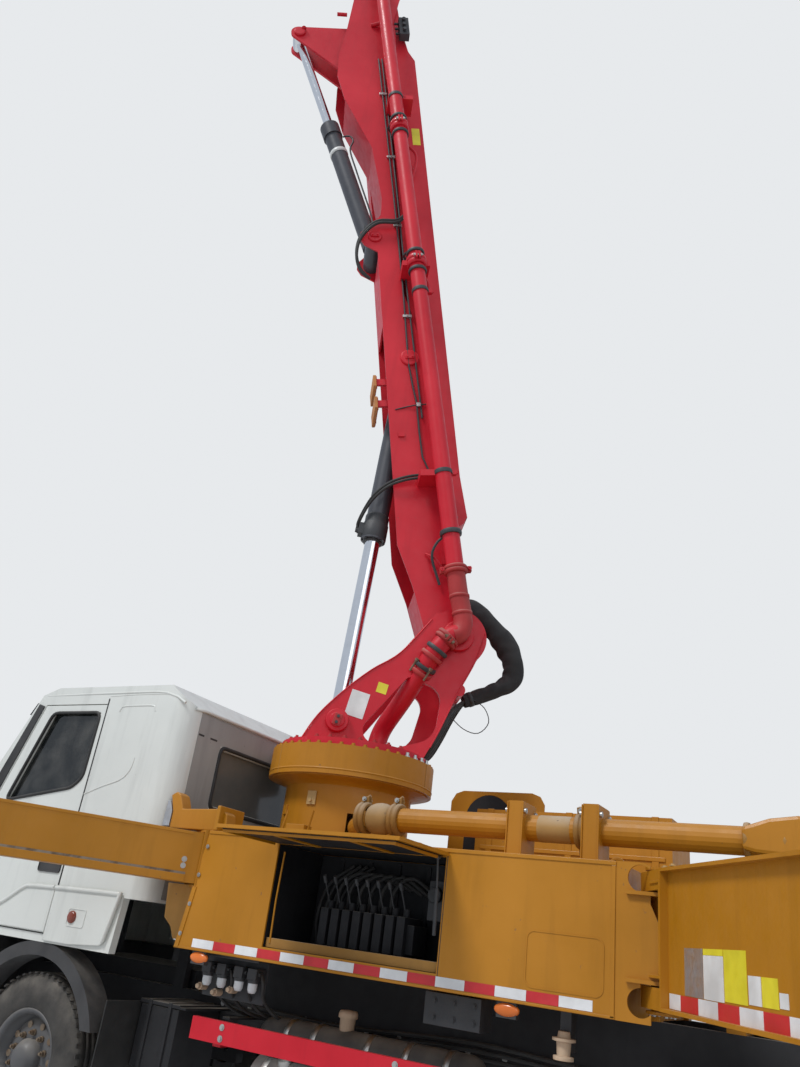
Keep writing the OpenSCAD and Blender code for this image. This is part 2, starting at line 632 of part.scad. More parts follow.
// Cab: side outline of the shell, with the inner outline one wall in
roof_x = front_x + 600;
screen_x = front_x + 110;
screen_z = 2130;
arch_r = tyre_r + 105;
module cab2(t) polygon([
    [front_x + t, t > 0 ? cab_under + t : cab_floor], [front_x + t, 1850], [screen_x + t, screen_z],
    [roof_x + t * 0.9, cab_top - 60 - t], [roof_x + 180, cab_top - t], [cab_rear - 200, cab_top - t],
    [cab_rear - t, cab_top - 150], [cab_rear - t, cab_under + t],
    [axle1_x + arch_r + 60, t > 0 ? cab_under + t : cab_under],
    [axle1_x + arch_r + 40, t > 0 ? cab_under + t : cab_floor]
]);
corner_r = 160;
module cab_plan(t) {
    x0 = front_x + t;
    x1 = cab_rear - t;
    y1 = half_w - t;
    r = corner_r - t;
    translate([x0 + r, -y1]) square([x1 - x0 - 2 * r, 2 * y1]);
    translate([x0, -y1 + r]) square([x1 - x0, 2 * y1 - 2 * r]);
    for (x = [x0 + r, x1 - r], y = [-y1 + r, y1 - r]) translate([x, y]) circle(r);
}
door_x0 = front_x + door_front;
door_x1 = door_x0 + door_len;
door_z0 = 1310;
door_z1 = cab_top - 150;
module door2(g) polygon([
    [door_x0 - g, door_z0 - g], [door_x1 + g, door_z0 - g],
    [door_x1 + g, door_z1 + g], [roof_x + 80 - g, door_z1 + g], [door_x0 - g, 2160 + g]
]);
module window2(g) polygon([
    [door_x0 + 140 - g, 2200 - g], [door_x1 - 150 + g, 2320 - g], [door_x1 - 60 + g, 2400],
    [door_x1 - 50 + g, door_z1 - 60 + g], [roof_x + 190 - g, door_z1 - 60 + g]
]);
module rear_window(g) {
    block([cab_rear - wall_t - 40, -770 - g, 2310 - g], [cab_rear + 40, 770 + g, 2730 + g]);
}
module windscreen(g, out) {
    a = atan2(roof_x - screen_x, cab_top - 60 - screen_z);
    translate([screen_x, 0, screen_z]) rotate([0, a, 0])
        block([-out, -half_w + 170 - g, 60 - g], [wall_t + 30, half_w - 170 + g, 900 + g]);
}
module cab_shell() color(white) {
    cab_body();
    hinge_pins(-1);
    hinge_pins(1);
}
module cab_body() difference() {
    intersection() {
        side(-half_w, half_w) cab2(0);
        plan(1000, 3500) cab_plan(0);
    }
    intersection() {
        side(-half_w + wall_t, half_w - wall_t) cab2(wall_t);
        plan(1000, 3500) cab_plan(wall_t);
    }
    block([front_x + wall_t, -half_w + wall_t, cab_floor - 1], [cab_rear + 1, half_w - wall_t, cab_under]);
    both() side(half_w - wall_t - 1, half_w + 1) door2(door_gap);
    rear_window(0);
    windscreen(0, 60);
}
module cab_glass() color([0.1, 0.12, 0.13, 0.6]) {
    difference() {
        block([cab_rear - 30 - glass_t, -770 + seat_gap, 2310 + seat_gap], [cab_rear - 30, 770 - seat_gap, 2730 - seat_gap]);
    }
    a = atan2(roof_x - screen_x, cab_top - 60 - screen_z);
    translate([screen_x, 0, screen_z]) rotate([0, a, 0])
        block([20, -half_w + 170 + seat_gap, 60 + seat_gap], [20 + glass_t, half_w - 170 - seat_gap, 900 - seat_gap]);
}
hinge_x = door_x0 - door_gap / 2;
hinge_y = half_w + 13;
hinge_zs = [1480, 1980];
hinge_r = 6;
hinge_h = 60;
module hinge_pins(s) scale([1, s, 1]) for (z = hinge_zs) {
    block([hinge_x - 40, half_w - 1, z - 24], [hinge_x - door_gap / 2, half_w + 21, z - 4]);
    block([hinge_x - 40, half_w + 2, z - 24], [hinge_x + 8, half_w + 21, z - 4]);
    upright(hinge_x, hinge_y, z - 10, z + hinge_h - 1, hinge_r);
}
module door_panel(s) color(white) scale([1, s, 1]) difference() {
    union() {
        difference() {
            side(half_w - wall_t, half_w) door2(0);
            side(half_w - wall_t - 1, half_w + 1) window2(0);
        }
        for (z = hinge_zs) {
            upright(hinge_x, hinge_y, z, z + hinge_h, 11);
            block([hinge_x, half_w - 1, z], [door_x0 + 50, half_w + 12, z + hinge_h]);
        }
    }
    for (z = hinge_zs) upright(hinge_x, hinge_y, z - 1, z + hinge_h + 1, hinge_r + pin_fit);
}
module door_glass(s) color([0.1, 0.12, 0.13, 0.6]) scale([1, s, 1])
    side(half_w - 30 - glass_t, half_w - 30) window2(-seat_gap);

// Cab interior: two seats, the dashboard and the steering wheel
module seat(y) {
    block([axle1_x - 150, y - 250, 1900], [axle1_x + 380, y + 250, 2040]);
    side(y - 240, y + 240) polygon([[axle1_x + 300, 2030], [axle1_x + 420, 2030], [axle1_x + 560, 2760], [axle1_x + 460, 2760]]);
    block([axle1_x - 50, y - 180, cab_under + wall_t + seat_gap], [axle1_x + 330, y + 180, 1901]);
}
module cab_interior() color(dark) {
    for (y = [-600, 600]) seat(y);
    intersection() {
        side(-half_w, half_w) polygon([
            [front_x + wall_t, 1700], [front_x + 420, 1700], [front_x + 480, 2060], [front_x + 200, 2110],
            [front_x + wall_t + seat_gap, 1840]
        ]);
        plan(1600, 2200) cab_plan(wall_t + seat_gap);
    }
    bar([front_x + 440, -600, 2000], [front_x + 600, -600, 2230], 35);
    translate([front_x + 605, -600, 2235]) rotate([0, 35, 0]) rotate_extrude() translate([215, 0]) circle(r = 18, $fn = 24);
    translate([front_x + 605, -600, 2235]) rotate([0, 35, 0]) {
        translate([-215, -20, -12]) cube([430, 40, 24]);
        translate([-20, -215, -12]) cube([40, 430, 24]);
    }
}

// Cab front: bumper, grille, steps and mirrors
module cab_front() color(dark) {
    intersection() {
        block([front_x, -half_w, 560], [front_x + 250 - seat_gap, half_w, cab_floor - seat_gap]);
        plan(500, 1300) cab_plan(0);
    }
    both() {
        block([front_x + 150, half_w - 300, 560], [axle1_x - arch_r - 60, half_w - 10, cab_floor - seat_gap]);
        // Mirror arm and head
        block([front_x + 230, half_w + seat_gap, 2040], [front_x + 290, half_w + 30, 2140]);
        bar([front_x + 260, half_w + 15, 2090], [front_x + 55, half_w + 130, 2090], 14);
        bar([front_x + 55, half_w + 130, 2080], [front_x + 55, half_w + 130, 2760], 14);
        block([front_x + 20, half_w + 40, 2180], [front_x + 90, half_w + 230, 2720]);
        // Wheel arch flare
        side(half_w - 190, half_w - 2) difference() {
            translate([axle1_x, tyre_r]) circle(arch_r + 90, $fn = 240);
            translate([axle1_x, tyre_r]) circle(arch_r, $fn = 240);
            translate([axle1_x - 1000, tyre_r - 1000]) square([2000, 1000 + arch_r * 0.4]);
            translate([axle1_x - 1000, cab_floor - seat_gap]) square([1000 + arch_r + 40, 400]);
        }
    }
}

// Compartment lid: hinged at the top of the bay, propped open level
lid_t = 20;
lid_z = bay_z1 + 6;
module side_lid() color(yellow) {
    difference() {
        block([bay_x0 - 20, -box_out_y - bay_h - 15, lid_z], [bay_x1 + 20, -box_out_y - lid_out, lid_z + lid_t]);
        for (x = lid_hinges) block([x - 35, -box_out_y - 30, lid_z - 30], [x + 85, -box_out_y + 1, lid_z + 50]);
    }
    for (x = lid_hinges) difference() {
        union() {
            translate([x, -box_out_y - lid_out, lid_z]) rotate([0, 90, 0]) cylinder(h = 70, r = 9);
            block([x, -box_out_y - 40, lid_z], [x + 70, -box_out_y - lid_out, lid_z + 9]);
        }
        translate([x - 1, -box_out_y - lid_out, lid_z]) rotate([0, 90, 0]) cylinder(h = 90, r = 5 + pin_fit);
    }
}

// Frames of the boom: the turret's own, and one along the raised first section
module boom() translate([slew_x, 0, 0]) rotate([0, 0, slew_deg]) children();
module arm() boom() translate([pivot_x, 0, pivot_z]) rotate([0, -luff_deg, 0]) children();

// Turret: base ring and two cut-out plates that hold the boom pivot and the cylinder foot
pivot_r = 75;
turret_z = flange_z1 + 5;
// Discs, as x, z and radius, that the cut-outs of the two plates are stretched round
near_window = [[-120, 3030, 100], [-250, 3010, 102], [-400, 3170, 200], [-470, 3320, 140], [-360, 3440, 60]];
far_window = [[-120, 3030, 100], [-250, 3010, 102], [-340, 3200, 150], [-400, 3400, 130], [-360, 3440, 60]];
module turret2(window) difference() {
    union() {
        polygon([
            [450, turret_z + 30], [345, 3087], [164, 3318], [-29, 3515], [-240, 3690], [-500, 4080],
            [pivot_x - 60, pivot_z + 240], [pivot_x - 230, pivot_z + 60], [-860, 3700], [-740, 3420],
            [-690, 3280], [-620, 3090], [-565, 2960], [-520, turret_z + 30]
        ]);
        disc2(pivot_x, pivot_z, 245);
    }
    hull() for (w = window) disc2(w[0], w[1], w[2]);
}
module turret() boom() color(red) {
    translate([0, 0, turret_z]) difference() {
        cylinder(h = 55, r = flange_r - 60);
        translate([0, 0, -1]) cylinder(h = 60, r = spigot_r + pin_fit);
    }
    side(turret_w / 2 - turret_t, turret_w / 2) turret2(near_window);
    side(-turret_w / 2, -turret_w / 2 + turret_t) turret2(far_window);
    for (s = [1, -1]) scale([1, s, 1]) {
        cross(foot_x, foot_z, 90, turret_w / 2 - 1, turret_w / 2 + 35);
        cross(pivot_x, pivot_z, 130, turret_w / 2 - 1, turret_w / 2 + 30);
    }
    cross(pivot_x, pivot_z, pivot_r, -turret_w / 2 + 5, turret_w / 2 - 5);
    cross(sleeve_foot[0], sleeve_foot[1], 50, -turret_w / 2 + 5, turret_w / 2 - 5);
}
sleeve_s = 400;
sleeve_up = 150;
sleeve_foot = [-755, 3455];

// Points of the boom in the frame of the first section: X along it, Z to its back
tip = [arm1_len, -200];
cyl1_pin = [2900, -190];
cyl2_pin = [4450, -450];
lever2_pin = [arm1_len - 1100, -520];
lever2_rod = [arm1_len - 686, -1180];
knee2 = [arm1_len - arm2_len, 100];
knee3 = [knee2[0] + arm3_len, -100];
web1 = arm1_w / 2;
web2 = arm2_w / 2;
small_pin = 55;

module arm1_outer() {
    disc2(0, 0, 240);
    polygon([
        [-60, -230], [500, -330], [900, -440], [4250, -430], [4340, -570], [4420, -610], [4500, -600], [4750, -370],
        [5000, -345], [5750, -414], [arm1_len - 1940, -690], [arm1_len - 1550, -760], [arm1_len - 1200, -730],
        [arm1_len - 700, -610], [tip[0] - 60, tip[1] - 285], [tip[0] - 100, tip[1] + 270], [arm1_len - 1150, -190],
        [3700, -190], [3150, -75], [650, -10], [60, 232]
    ]);
    disc2(tip[0], tip[1], 290);
}
module arm1_void() {
    polygon([
        [450, -60], [450, -900], [3300, -900], [3300, -412], [4190, -412], [4190, -900], [4830, -900], [4830, -340],
        [5010, -325], [5740, -392], [6440, -650], [arm1_len - 1600, -900], [arm1_len + 600, -900],
        [arm1_len + 600, 400], [arm1_len - 900, 400], [arm1_len - 1180, -210], [3720, -210], [3160, -95], [700, -50]
    ]);
}
module arm_1() arm() color(red) {
    difference() {
        union() {
            side(-web1, web1) arm1_outer();
            cross(0, 0, 150, -turret_w / 2 + turret_t + 6, turret_w / 2 - turret_t - 6);
        }
        side(-web1 + web_t, web1 - web_t) arm1_void();
        cross(0, 0, pivot_r + pin_fit, -400, 400);
    }
    block([sleeve_s - 70, -90, -40], [sleeve_s + 70, 90, sleeve_up]);
    cross(cyl1_pin[0], cyl1_pin[1], small_pin, -web1 + 5, web1 - 5);
    cross(cyl2_pin[0], cyl2_pin[1], small_pin, -web1 + 5, web1 - 5);
    cross(lever2_pin[0], lever2_pin[1], small_pin, -web1 + 5, web1 - 5);
    cross(tip[0], tip[1], 70, -web1 + 5, web1 - 5);
}

// A cylinder barrel from its eye along +X, and a rod that ends in its eye at the origin
module barrel(l, r, rod_r, eye_w, bore_from) difference() {
    union() {
        cross(0, 0, r * 0.95, -eye_w / 2, eye_w / 2);
        translate([r * 0.5, 0, 0]) rotate([0, 90, 0]) cylinder(h = l - r * 0.5, r = r);
        translate([l - 170, 0, 0]) rotate([0, 90, 0]) cylinder(h = 170, r = r + 14);
    }
    cross(0, 0, small_pin + pin_fit, -300, 300);
    translate([bore_from, 0, 0]) rotate([0, 90, 0]) cylinder(h = l, r = rod_r + pin_fit);
}
module rod(l, rod_r, eye_r, eye_w) {
    translate([eye_r * 0.6, 0, 0]) rotate([0, 90, 0]) cylinder(h = l - eye_r * 0.6, r = rod_r);
    cross(0, 0, eye_r, -eye_w / 2, eye_w / 2);
}
// A frame at point p that looks towards point q
module aim(p, q) translate([p[0], 0, p[1]]) rotate([0, -atan2(q[1] - p[1], q[0] - p[0]), 0]) children();

rod1_r = 68;
rod2_r = 52;
rod3_r = 42;
// Main cylinder, seen in the turret frame
foot = [foot_x, foot_z];
function arm_to_boom(p) = [
    pivot_x + p[0] * cos(luff_deg) - p[1] * sin(luff_deg),
    pivot_z + p[0] * sin(luff_deg) + p[1] * cos(luff_deg)
];
cyl1_top = arm_to_boom(cyl1_pin);
cyl1_len = norm(cyl1_top - foot);
barrel1_len = 1914;
module cyl_1_barrel() boom() aim(cyl1_top, foot) color(dark) barrel(barrel1_len, 100, rod1_r, 2 * (web1 - web_t - seat_gap), 115);
module cyl_1_rod() boom() aim(foot, cyl1_top) color(steel) rod(cyl1_len - barrel1_len + 230, rod1_r, 105, turret_w - 2 * turret_t - 2 * seat_gap);

cyl2_len = norm(lever2_rod - cyl2_pin);
barrel2_len = 1900;
module cyl_2_barrel() arm() aim(cyl2_pin, lever2_rod) color(dark) barrel(barrel2_len, 98, rod2_r, 2 * (web1 - web_t - seat_gap), 150);
module cyl_2_rod() arm() aim(lever2_rod, cyl2_pin) color(steel) rod(cyl2_len - barrel2_len + 260, rod2_r, 84, 200 - 2 * seat_gap);

// Lever of the second section: two plates on the head of the first section
module lever_2() arm() color(red) {
    for (y = [100, -128]) difference() {
        side(y, y + 28) union() {
            disc2(lever2_rod[0], lever2_rod[1], 105);
            polygon([
                lever2_rod + [-85, -62], lever2_pin + [-230, -170], lever2_pin + [-150, 130],
                lever2_pin + [420, 190], lever2_pin + [540, 60], lever2_rod + [102, 25]
            ]);
        }
        cross(lever2_pin[0], lever2_pin[1], small_pin + pin_fit, -300, 300);
    }
    difference() {
        cross(lever2_pin[0], lever2_pin[1], 90, -101, 101);
        cross(lever2_pin[0], lever2_pin[1], small_pin + pin_fit, -300, 300);
    }
    cross(lever2_pin[0] + 400, lever2_pin[1] + 90, 50, -101, 101);
}

// Second section: folded down the back of the first
module arm2_outer() {
    disc2(tip[0], tip[1], 235);
    disc2(knee2[0], knee2[1], 116);
    polygon([
        [knee2[0] + 20, -12], [3050, -45], [3640, -150], [arm1_len - 1100, -150], [arm1_len - 500, -200], [tip[0] - 60, tip[1] - 225],
        [tip[0] + 60, tip[1] + 225], [arm1_len - 600, 60], [arm1_len - 1000, 120], [arm1_len - 1160, 190],
        [knee2[0] + 400, 200], [knee2[0] - 20, 228]
    ]);
}
module arm2_void() polygon([
    [knee2[0] + 260, 4], [3040, -29], [3630, -134], [arm1_len - 1200, -134], [arm1_len - 1200, 174], [knee2[0] + 420, 184],
    [knee2[0] + 260, 184]
]);
arm3_y0 = -800;
arm3_y1 = -500;
lever3_pin = knee2 + [850, -40];
lever3_rod = lever3_pin + [-300, -290];
cyl3_pin = knee2 + [3400, -40];
cyl3_y = -350;
module arm_2() arm() color(red) {
    difference() {
        side(-web2, web2) arm2_outer();
        side(-web2 + web_t, web2 - web_t) arm2_void();
        cross(tip[0], tip[1], 70 + pin_fit, -400, 400);
        translate([knee2[0] + 600, 0, 100]) cylinder(h = 200, r = 40);
    }
    cross(knee2[0], knee2[1], 70, arm3_y0 - 30, -web2 + 5);
    cross(lever3_pin[0], lever3_pin[1], 45, -480, -web2 + 5);
    cross(cyl3_pin[0], cyl3_pin[1], small_pin, -440, -web2 + 5);
}

// Third section: beside the second, on the far side, folded up again
module arm3_outer() {
    disc2(knee2[0], knee2[1], 165);
    disc2(knee3[0], knee3[1], 175);
    polygon([
        [knee2[0], -65], [knee3[0] - 500, -60], [knee3[0] - 60, knee3[1] - 168], [knee3[0] + 60, knee3[1] + 168],
        [knee3[0] - 400, 190], [knee2[0], 265]
    ]);
}
module arm_3() arm() color(red) {
    difference() {
        side(arm3_y0, arm3_y1) arm3_outer();
        side(arm3_y0 + web_t, arm3_y1 - web_t) polygon([
            [knee2[0] + 260, -45], [knee3[0] - 520, -42], [knee3[0] - 300, -400], [knee3[0] + 400, -400],
            [knee3[0] + 400, 400], [knee3[0] - 120, 400], [knee3[0] - 420, 165], [knee2[0] + 260, 240]
        ]);
        cross(knee2[0], knee2[1], 70 + pin_fit, -900, -300);
    }
    cross(knee3[0], knee3[1], 55, arm3_y0 + 5, arm3_y1 - 5);
    cross(lever4_pin[0], lever4_pin[1], 45, arm3_y0 - 230, arm3_y0 + 5);
    cross(cyl4_pin[0], cyl4_pin[1], small_pin, arm3_y0 - 200, arm3_y0 + 5);
}

// Last section: under the third, with the hose outlet at its tip
module arm_4() arm() color(red) {
    y0 = arm3_y0 + 40;
    y1 = arm3_y1 - 40;
    x_tip = knee3[0] - arm4_len;
    difference() {
        union() {
            side(y0, y1) disc2(knee3[0], knee3[1], 160);
            side(y0, y1) polygon([
                [knee3[0] + 20, knee3[1] - 158], [knee3[0] - 600, -390], [x_tip, -300], [x_tip, -120],
                [knee3[0] - 600, -105], [knee3[0] - 150, knee3[1] + 50]
            ]);
        }
        cross(knee3[0], knee3[1], 55 + pin_fit, -900, -300);
        side(y0 + web_t, y1 - web_t) polygon([
            [knee3[0] - 620, -372], [x_tip + 200, -290], [x_tip + 200, -136], [knee3[0] - 620, -122]
        ]);
        tip_bore(x_tip);
    }
    // Outlet stub for the end hose
    difference() {
        cross(x_tip + 110, -210, outlet_r, y0 - outlet_l, y0 + 5);
        tip_bore(x_tip);
    }
}
outlet_r = 66.5;
outlet_l = 150;
module tip_bore(x) cross(x + 110, -210, outlet_r - 4, arm3_y0 - 200, arm3_y0 + 100);

// Cylinders and levers of the third and fourth sections
small_barrel = 1700;
lever_w = 150;
module small_rod(l) rod(l - small_barrel + 200, rod3_r, 66, lever_w - 2 * seat_gap);
module small_lever(pin, end, y) {
    for (dy = [-lever_w / 2 - 20, lever_w / 2]) difference() {
        side(y + dy, y + dy + 20) union() {
            disc2(end[0], end[1], 70);
            disc2(pin[0], pin[1], 85);
            translate([pin[0], pin[1]]) rotate(atan2(end[1] - pin[1], end[0] - pin[0]))
                translate([0, -65]) square([norm(end - pin), 130]);
        }
        cross(pin[0], pin[1], 45 + pin_fit, -1200, 0);
    }
    difference() {
        cross(pin[0], pin[1], 80, y - lever_w / 2 - 21, y + lever_w / 2 + 21);
        cross(pin[0], pin[1], 45 + pin_fit, -1200, 0);
    }
}
cyl3_len = norm(lever3_rod - cyl3_pin);
module cyl_3_barrel() arm() translate([0, cyl3_y, 0]) aim(cyl3_pin, lever3_rod) color(dark)
    barrel(small_barrel, 68, rod3_r, lever_w, 120);
module cyl_3_rod() arm() translate([0, cyl3_y, 0]) aim(lever3_rod, cyl3_pin) color(steel) small_rod(cyl3_len);
module lever_3() arm() color(red) small_lever(lever3_pin, lever3_rod, cyl3_y);
lever4_pin = knee3 + [-850, 130];
lever4_rod = lever4_pin + [300, 290];
cyl4_pin = knee3 + [-3400, 130];
cyl4_y = arm3_y0 - 105;
cyl4_len = norm(lever4_rod - cyl4_pin);
module cyl_4_barrel() arm() translate([0, cyl4_y, 0]) aim(cyl4_pin, lever4_rod) color(dark)
    barrel(small_barrel, 68, rod3_r, lever_w, 120);
module cyl_4_rod() arm() translate([0, cyl4_y, 0]) aim(lever4_rod, cyl4_pin) color(steel) small_rod(cyl4_len);
module lever_4() arm() color(red) small_lever(lever4_pin, lever4_rod, cyl4_y);

// Concrete pipe on the near side of the first section
module pipe_1() arm() color(red) {
    y = web1 + 210;
    a = [350, y, 20];
    b = [arm1_len - 100, y, -190];
    bar(a, b, pipe_r, pipe_r - pipe_t);
    for (x = [1500, 3900, 6300]) difference() {
        block([x - 30, web1 + seat_gap, -220], [x + 30, y + 20, 60]);
        bar(a, b, pipe_r - 2);
    }
}

// Hose sleeve behind the boom foot, from a cleat on the first section to a bar on the turret
sleeve_dir = [-sin(luff_deg), cos(luff_deg)];
sleeve_top = arm_to_boom([sleeve_s, sleeve_up + seat_gap]);
sleeve_low = [-1120, 3560];
sleeve_end = sleeve_foot + (sleeve_low - sleeve_foot) / norm(sleeve_low - sleeve_foot) * (50 + seat_gap);
sleeve_pts = [sleeve_top, sleeve_top + 110 * sleeve_dir, [-1120, 4110], [-1250, 3830], sleeve_low, sleeve_end];
module hose_sleeve() boom() color(dark) pipe_line([for (p = sleeve_pts) [p[0], 0, p[1]]], 78, 55, [0, 1, 0], 16);

frame();
engine();
axles();
mudguards();
deck_body();
deck_gear();
pedestal();
deck_pipe();
far_tank();
side_guards();
tanks();
pump_cylinders();
hopper();
hopper_grate();
lamps();
cab_shell();
cab_glass();
cab_interior();
cab_front();
door_panel(-1);  // door_l
door_panel(1);  // door_r
door_glass(-1);  // door_glass_l
door_glass(1);  // door_glass_r
side_lid();
knuckle(-1);  // knuckle_l
knuckle(1);  // knuckle_r
front_wheel(-1);  // wheel_fl
front_wheel(1);  // wheel_fr
twin_wheel(axle2_x, -1);  // wheel_ml
twin_wheel(axle2_x, 1);  // wheel_mr
twin_wheel(axle3_x, -1);  // wheel_rl
twin_wheel(axle3_x, 1);  // wheel_rr
front_beam(-1);  // front_beam_l
front_beam(1);  // front_beam_r
front_jack(-1);  // front_jack_l
front_jack(1);  // front_jack_r
rear_leg(-1);  // rear_leg_l
rear_leg(1);  // rear_leg_r
rear_jack(-1);  // rear_jack_l
rear_jack(1);  // rear_jack_r
turret();
arm_1();
arm_2();
arm_3();
arm_4();
pipe_1();
cyl_1_barrel();
cyl_1_rod();
cyl_2_barrel();
cyl_2_rod();
lever_2();
cyl_3_barrel();
cyl_3_rod();
lever_3();
cyl_4_barrel();
cyl_4_rod();
lever_4();
hose_sleeve();
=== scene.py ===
"""Concrete pump truck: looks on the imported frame. Metres; +X to the rear, -Y the driver's side."""
import math

import bmesh
import bpy
from mathutils import Matrix, Vector


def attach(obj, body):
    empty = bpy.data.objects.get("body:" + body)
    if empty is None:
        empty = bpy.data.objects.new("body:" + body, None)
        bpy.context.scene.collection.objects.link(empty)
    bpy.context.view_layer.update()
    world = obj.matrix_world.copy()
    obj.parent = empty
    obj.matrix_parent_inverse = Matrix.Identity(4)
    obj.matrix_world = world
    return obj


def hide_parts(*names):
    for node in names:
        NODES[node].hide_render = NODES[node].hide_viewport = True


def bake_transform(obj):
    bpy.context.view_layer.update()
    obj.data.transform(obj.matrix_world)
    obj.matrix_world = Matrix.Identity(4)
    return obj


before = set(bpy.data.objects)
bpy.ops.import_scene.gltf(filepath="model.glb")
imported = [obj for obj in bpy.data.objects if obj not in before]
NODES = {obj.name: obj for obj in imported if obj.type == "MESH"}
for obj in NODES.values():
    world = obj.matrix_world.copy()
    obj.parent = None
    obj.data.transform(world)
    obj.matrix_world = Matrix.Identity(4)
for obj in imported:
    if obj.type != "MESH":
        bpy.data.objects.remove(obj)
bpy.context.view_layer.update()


def at(x, y, z):
    return Matrix.Translation((x, y, z))


def turned(degrees, axis):
    return Matrix.Rotation(math.radians(degrees), 4, axis)


# places
ONE = Matrix.Identity(4)
ORIGIN, ALONG_X, FORWARD, UP = (0, 0, 0), (1, 0, 0), (-1, 0, 0), (0, 0, 1)
SIDES = ((-1, "l"), (1, "r"))
FRONT_X, HALF_W = -5.85, 1.24
AXLE1, AXLE2, AXLE3 = -4.48, 0.15, 1.46
TYRE_R, TYRE_W, RIM_R = 0.53, 0.285, 0.292
CAB_REAR, CAB_TOP = -3.6, 3.12
DOOR_X0, DOOR_X1 = -5.47, -4.46
BOX_X0, BOX_X1, BOX_Y = -3.13, -0.36, 1.25
DECK_Z, BOX_Z0 = 2.085, 1.354
BAY_X0, BAY_X1, BAY_Z0, BAY_Z1 = -2.54, -1.344, 1.434, 2.034
RAIL_Y = 0.43
RING_TOP = 2.83
PIPE_R = 0.077
SLEW = at(-2.87, 0, 0) @ turned(215, "Z")
PIVOT = (-0.7, 3.9)
ARM = SLEW @ at(PIVOT[0], 0, PIVOT[1]) @ turned(-79.2, "Y")
ARM_PIPE_Y, ARM_WEB_Y = 0.45, 0.254
CYL_1_FOOT, CYL_2_FOOT, LEVER_FOOT = (2.9, -0.19), (4.45, -0.45), (8.45, -0.2)
LEVER_TIP = (7.764, -1.18)
DECK_PIPE_Y, DECK_PIPE_Z = -0.87, 2.275
LEG_X, LEG_Y, LEG_OUT = -0.17, 1.07, 59.7
BEAM_X, BEAM_Y, BEAM_OUT = -3.28, 1.18, 56.4
BEAM_HALF_W, BEAM_Z0, BEAM_Z1 = 0.12, 1.743, 2.063
PUMP_Y, PUMP_Z = 0.19, 1.56
SHAFT_X, SHAFT_Z = 5.3, 1.13
HOPPER_FRONT_X, HOPPER_SIDE_Y = 4.699, 1.149
AIR_Y, AIR_Z = 0.8, 0.935


# materials
def new_material(name):
    m = bpy.data.materials.new(name)
    m.use_nodes = True
    nt = m.node_tree
    nt.nodes.clear()
    out = nt.nodes.new("ShaderNodeOutputMaterial")
    bsdf = nt.nodes.new("ShaderNodeBsdfPrincipled")
    nt.links.new(bsdf.outputs["BSDF"], out.inputs["Surface"])
    return m, nt, bsdf


def noise(nt, scale, detail, rough=0.55, stretch=None):
    """Noise over the object's own place, so that it runs on across pieces."""
    geo = nt.nodes.new("ShaderNodeNewGeometry")
    src = geo.outputs["Position"]
    if stretch:
        mp = nt.nodes.new("ShaderNodeMapping")
        mp.inputs["Scale"].default_value = stretch
        nt.links.new(src, mp.inputs["Vector"])
        src = mp.outputs["Vector"]
    n = nt.nodes.new("ShaderNodeTexNoise")
    n.inputs["Scale"].default_value = scale
    n.inputs["Detail"].default_value = detail
    n.inputs["Roughness"].default_value = rough
    nt.links.new(src, n.inputs["Vector"])
    return n.outputs["Fac"]


def ramp(nt, fac, stops):
    r = nt.nodes.new("ShaderNodeValToRGB")
    while len(r.color_ramp.elements) < len(stops):
        r.color_ramp.elements.new(0.5)
    for e, (p, c) in zip(r.color_ramp.elements, stops):
        e.position = p
        e.color = (c, c, c, 1) if isinstance(c, (int, float)) else (*c, 1)
    nt.links.new(fac, r.inputs["Fac"])
    return r.outputs["Color"]


def mix(nt, fac, a, b):
    m = nt.nodes.new("ShaderNodeMix")
    m.data_type = "RGBA"
    for key, val in ((0, fac), (6, a), (7, b)):
        sock = m.inputs[key]
        if isinstance(val, bpy.types.NodeSocket):
            nt.links.new(val, sock)
        elif key == 0:
            sock.default_value = val
        else:
            sock.default_value = (*val, 1)
    return m.outputs[2]


def math_node(nt, op, a, b=None, c=None):
    m = nt.nodes.new("ShaderNodeMath")
    m.operation = op
    for i, v in enumerate((a, b, c)):
        if v is None:
            continue
        if isinstance(v, bpy.types.NodeSocket):
            nt.links.new(v, m.inputs[i])
        else:
            m.inputs[i].default_value = v
    return m.outputs[0]


def bump(nt, bsdf, height, strength, distance=0.01):
    b = nt.nodes.new("ShaderNodeBump")
    b.inputs["Strength"].default_value = strength
    b.inputs["Distance"].default_value = distance
    nt.links.new(height, b.inputs["Height"])
    nt.links.new(b.outputs["Normal"], bsdf.inputs["Normal"])


def up_facing(nt):
    geo = nt.nodes.new("ShaderNodeNewGeometry")
    sep = nt.nodes.new("ShaderNodeSeparateXYZ")
    nt.links.new(geo.outputs["Normal"], sep.inputs[0])
    return math_node(nt, "MAXIMUM", sep.outputs["Z"], 0.0)


PAINT_DUST, PLASTIC_DUST = (0.45, 0.4, 0.33), (0.33, 0.29, 0.24)
PRIMER, SMEAR = (0.1, 0.075, 0.06), (0.2, 0.19, 0.17)


def patches(nt, scale, detail, lo, hi, top=1.0, bottom=0.0, rough=0.55):
    """Noise turned into soft patches: bottom below lo, top above hi."""
    return ramp(nt, noise(nt, scale, detail, rough), [(lo, bottom), (hi, top)])


def times(nt, a, b):
    return math_node(nt, "MULTIPLY", a, b)


def scaled(nt, a, factor, offset):
    """a times the factor, plus the offset."""
    return math_node(nt, "MULTIPLY_ADD", a, factor, offset)


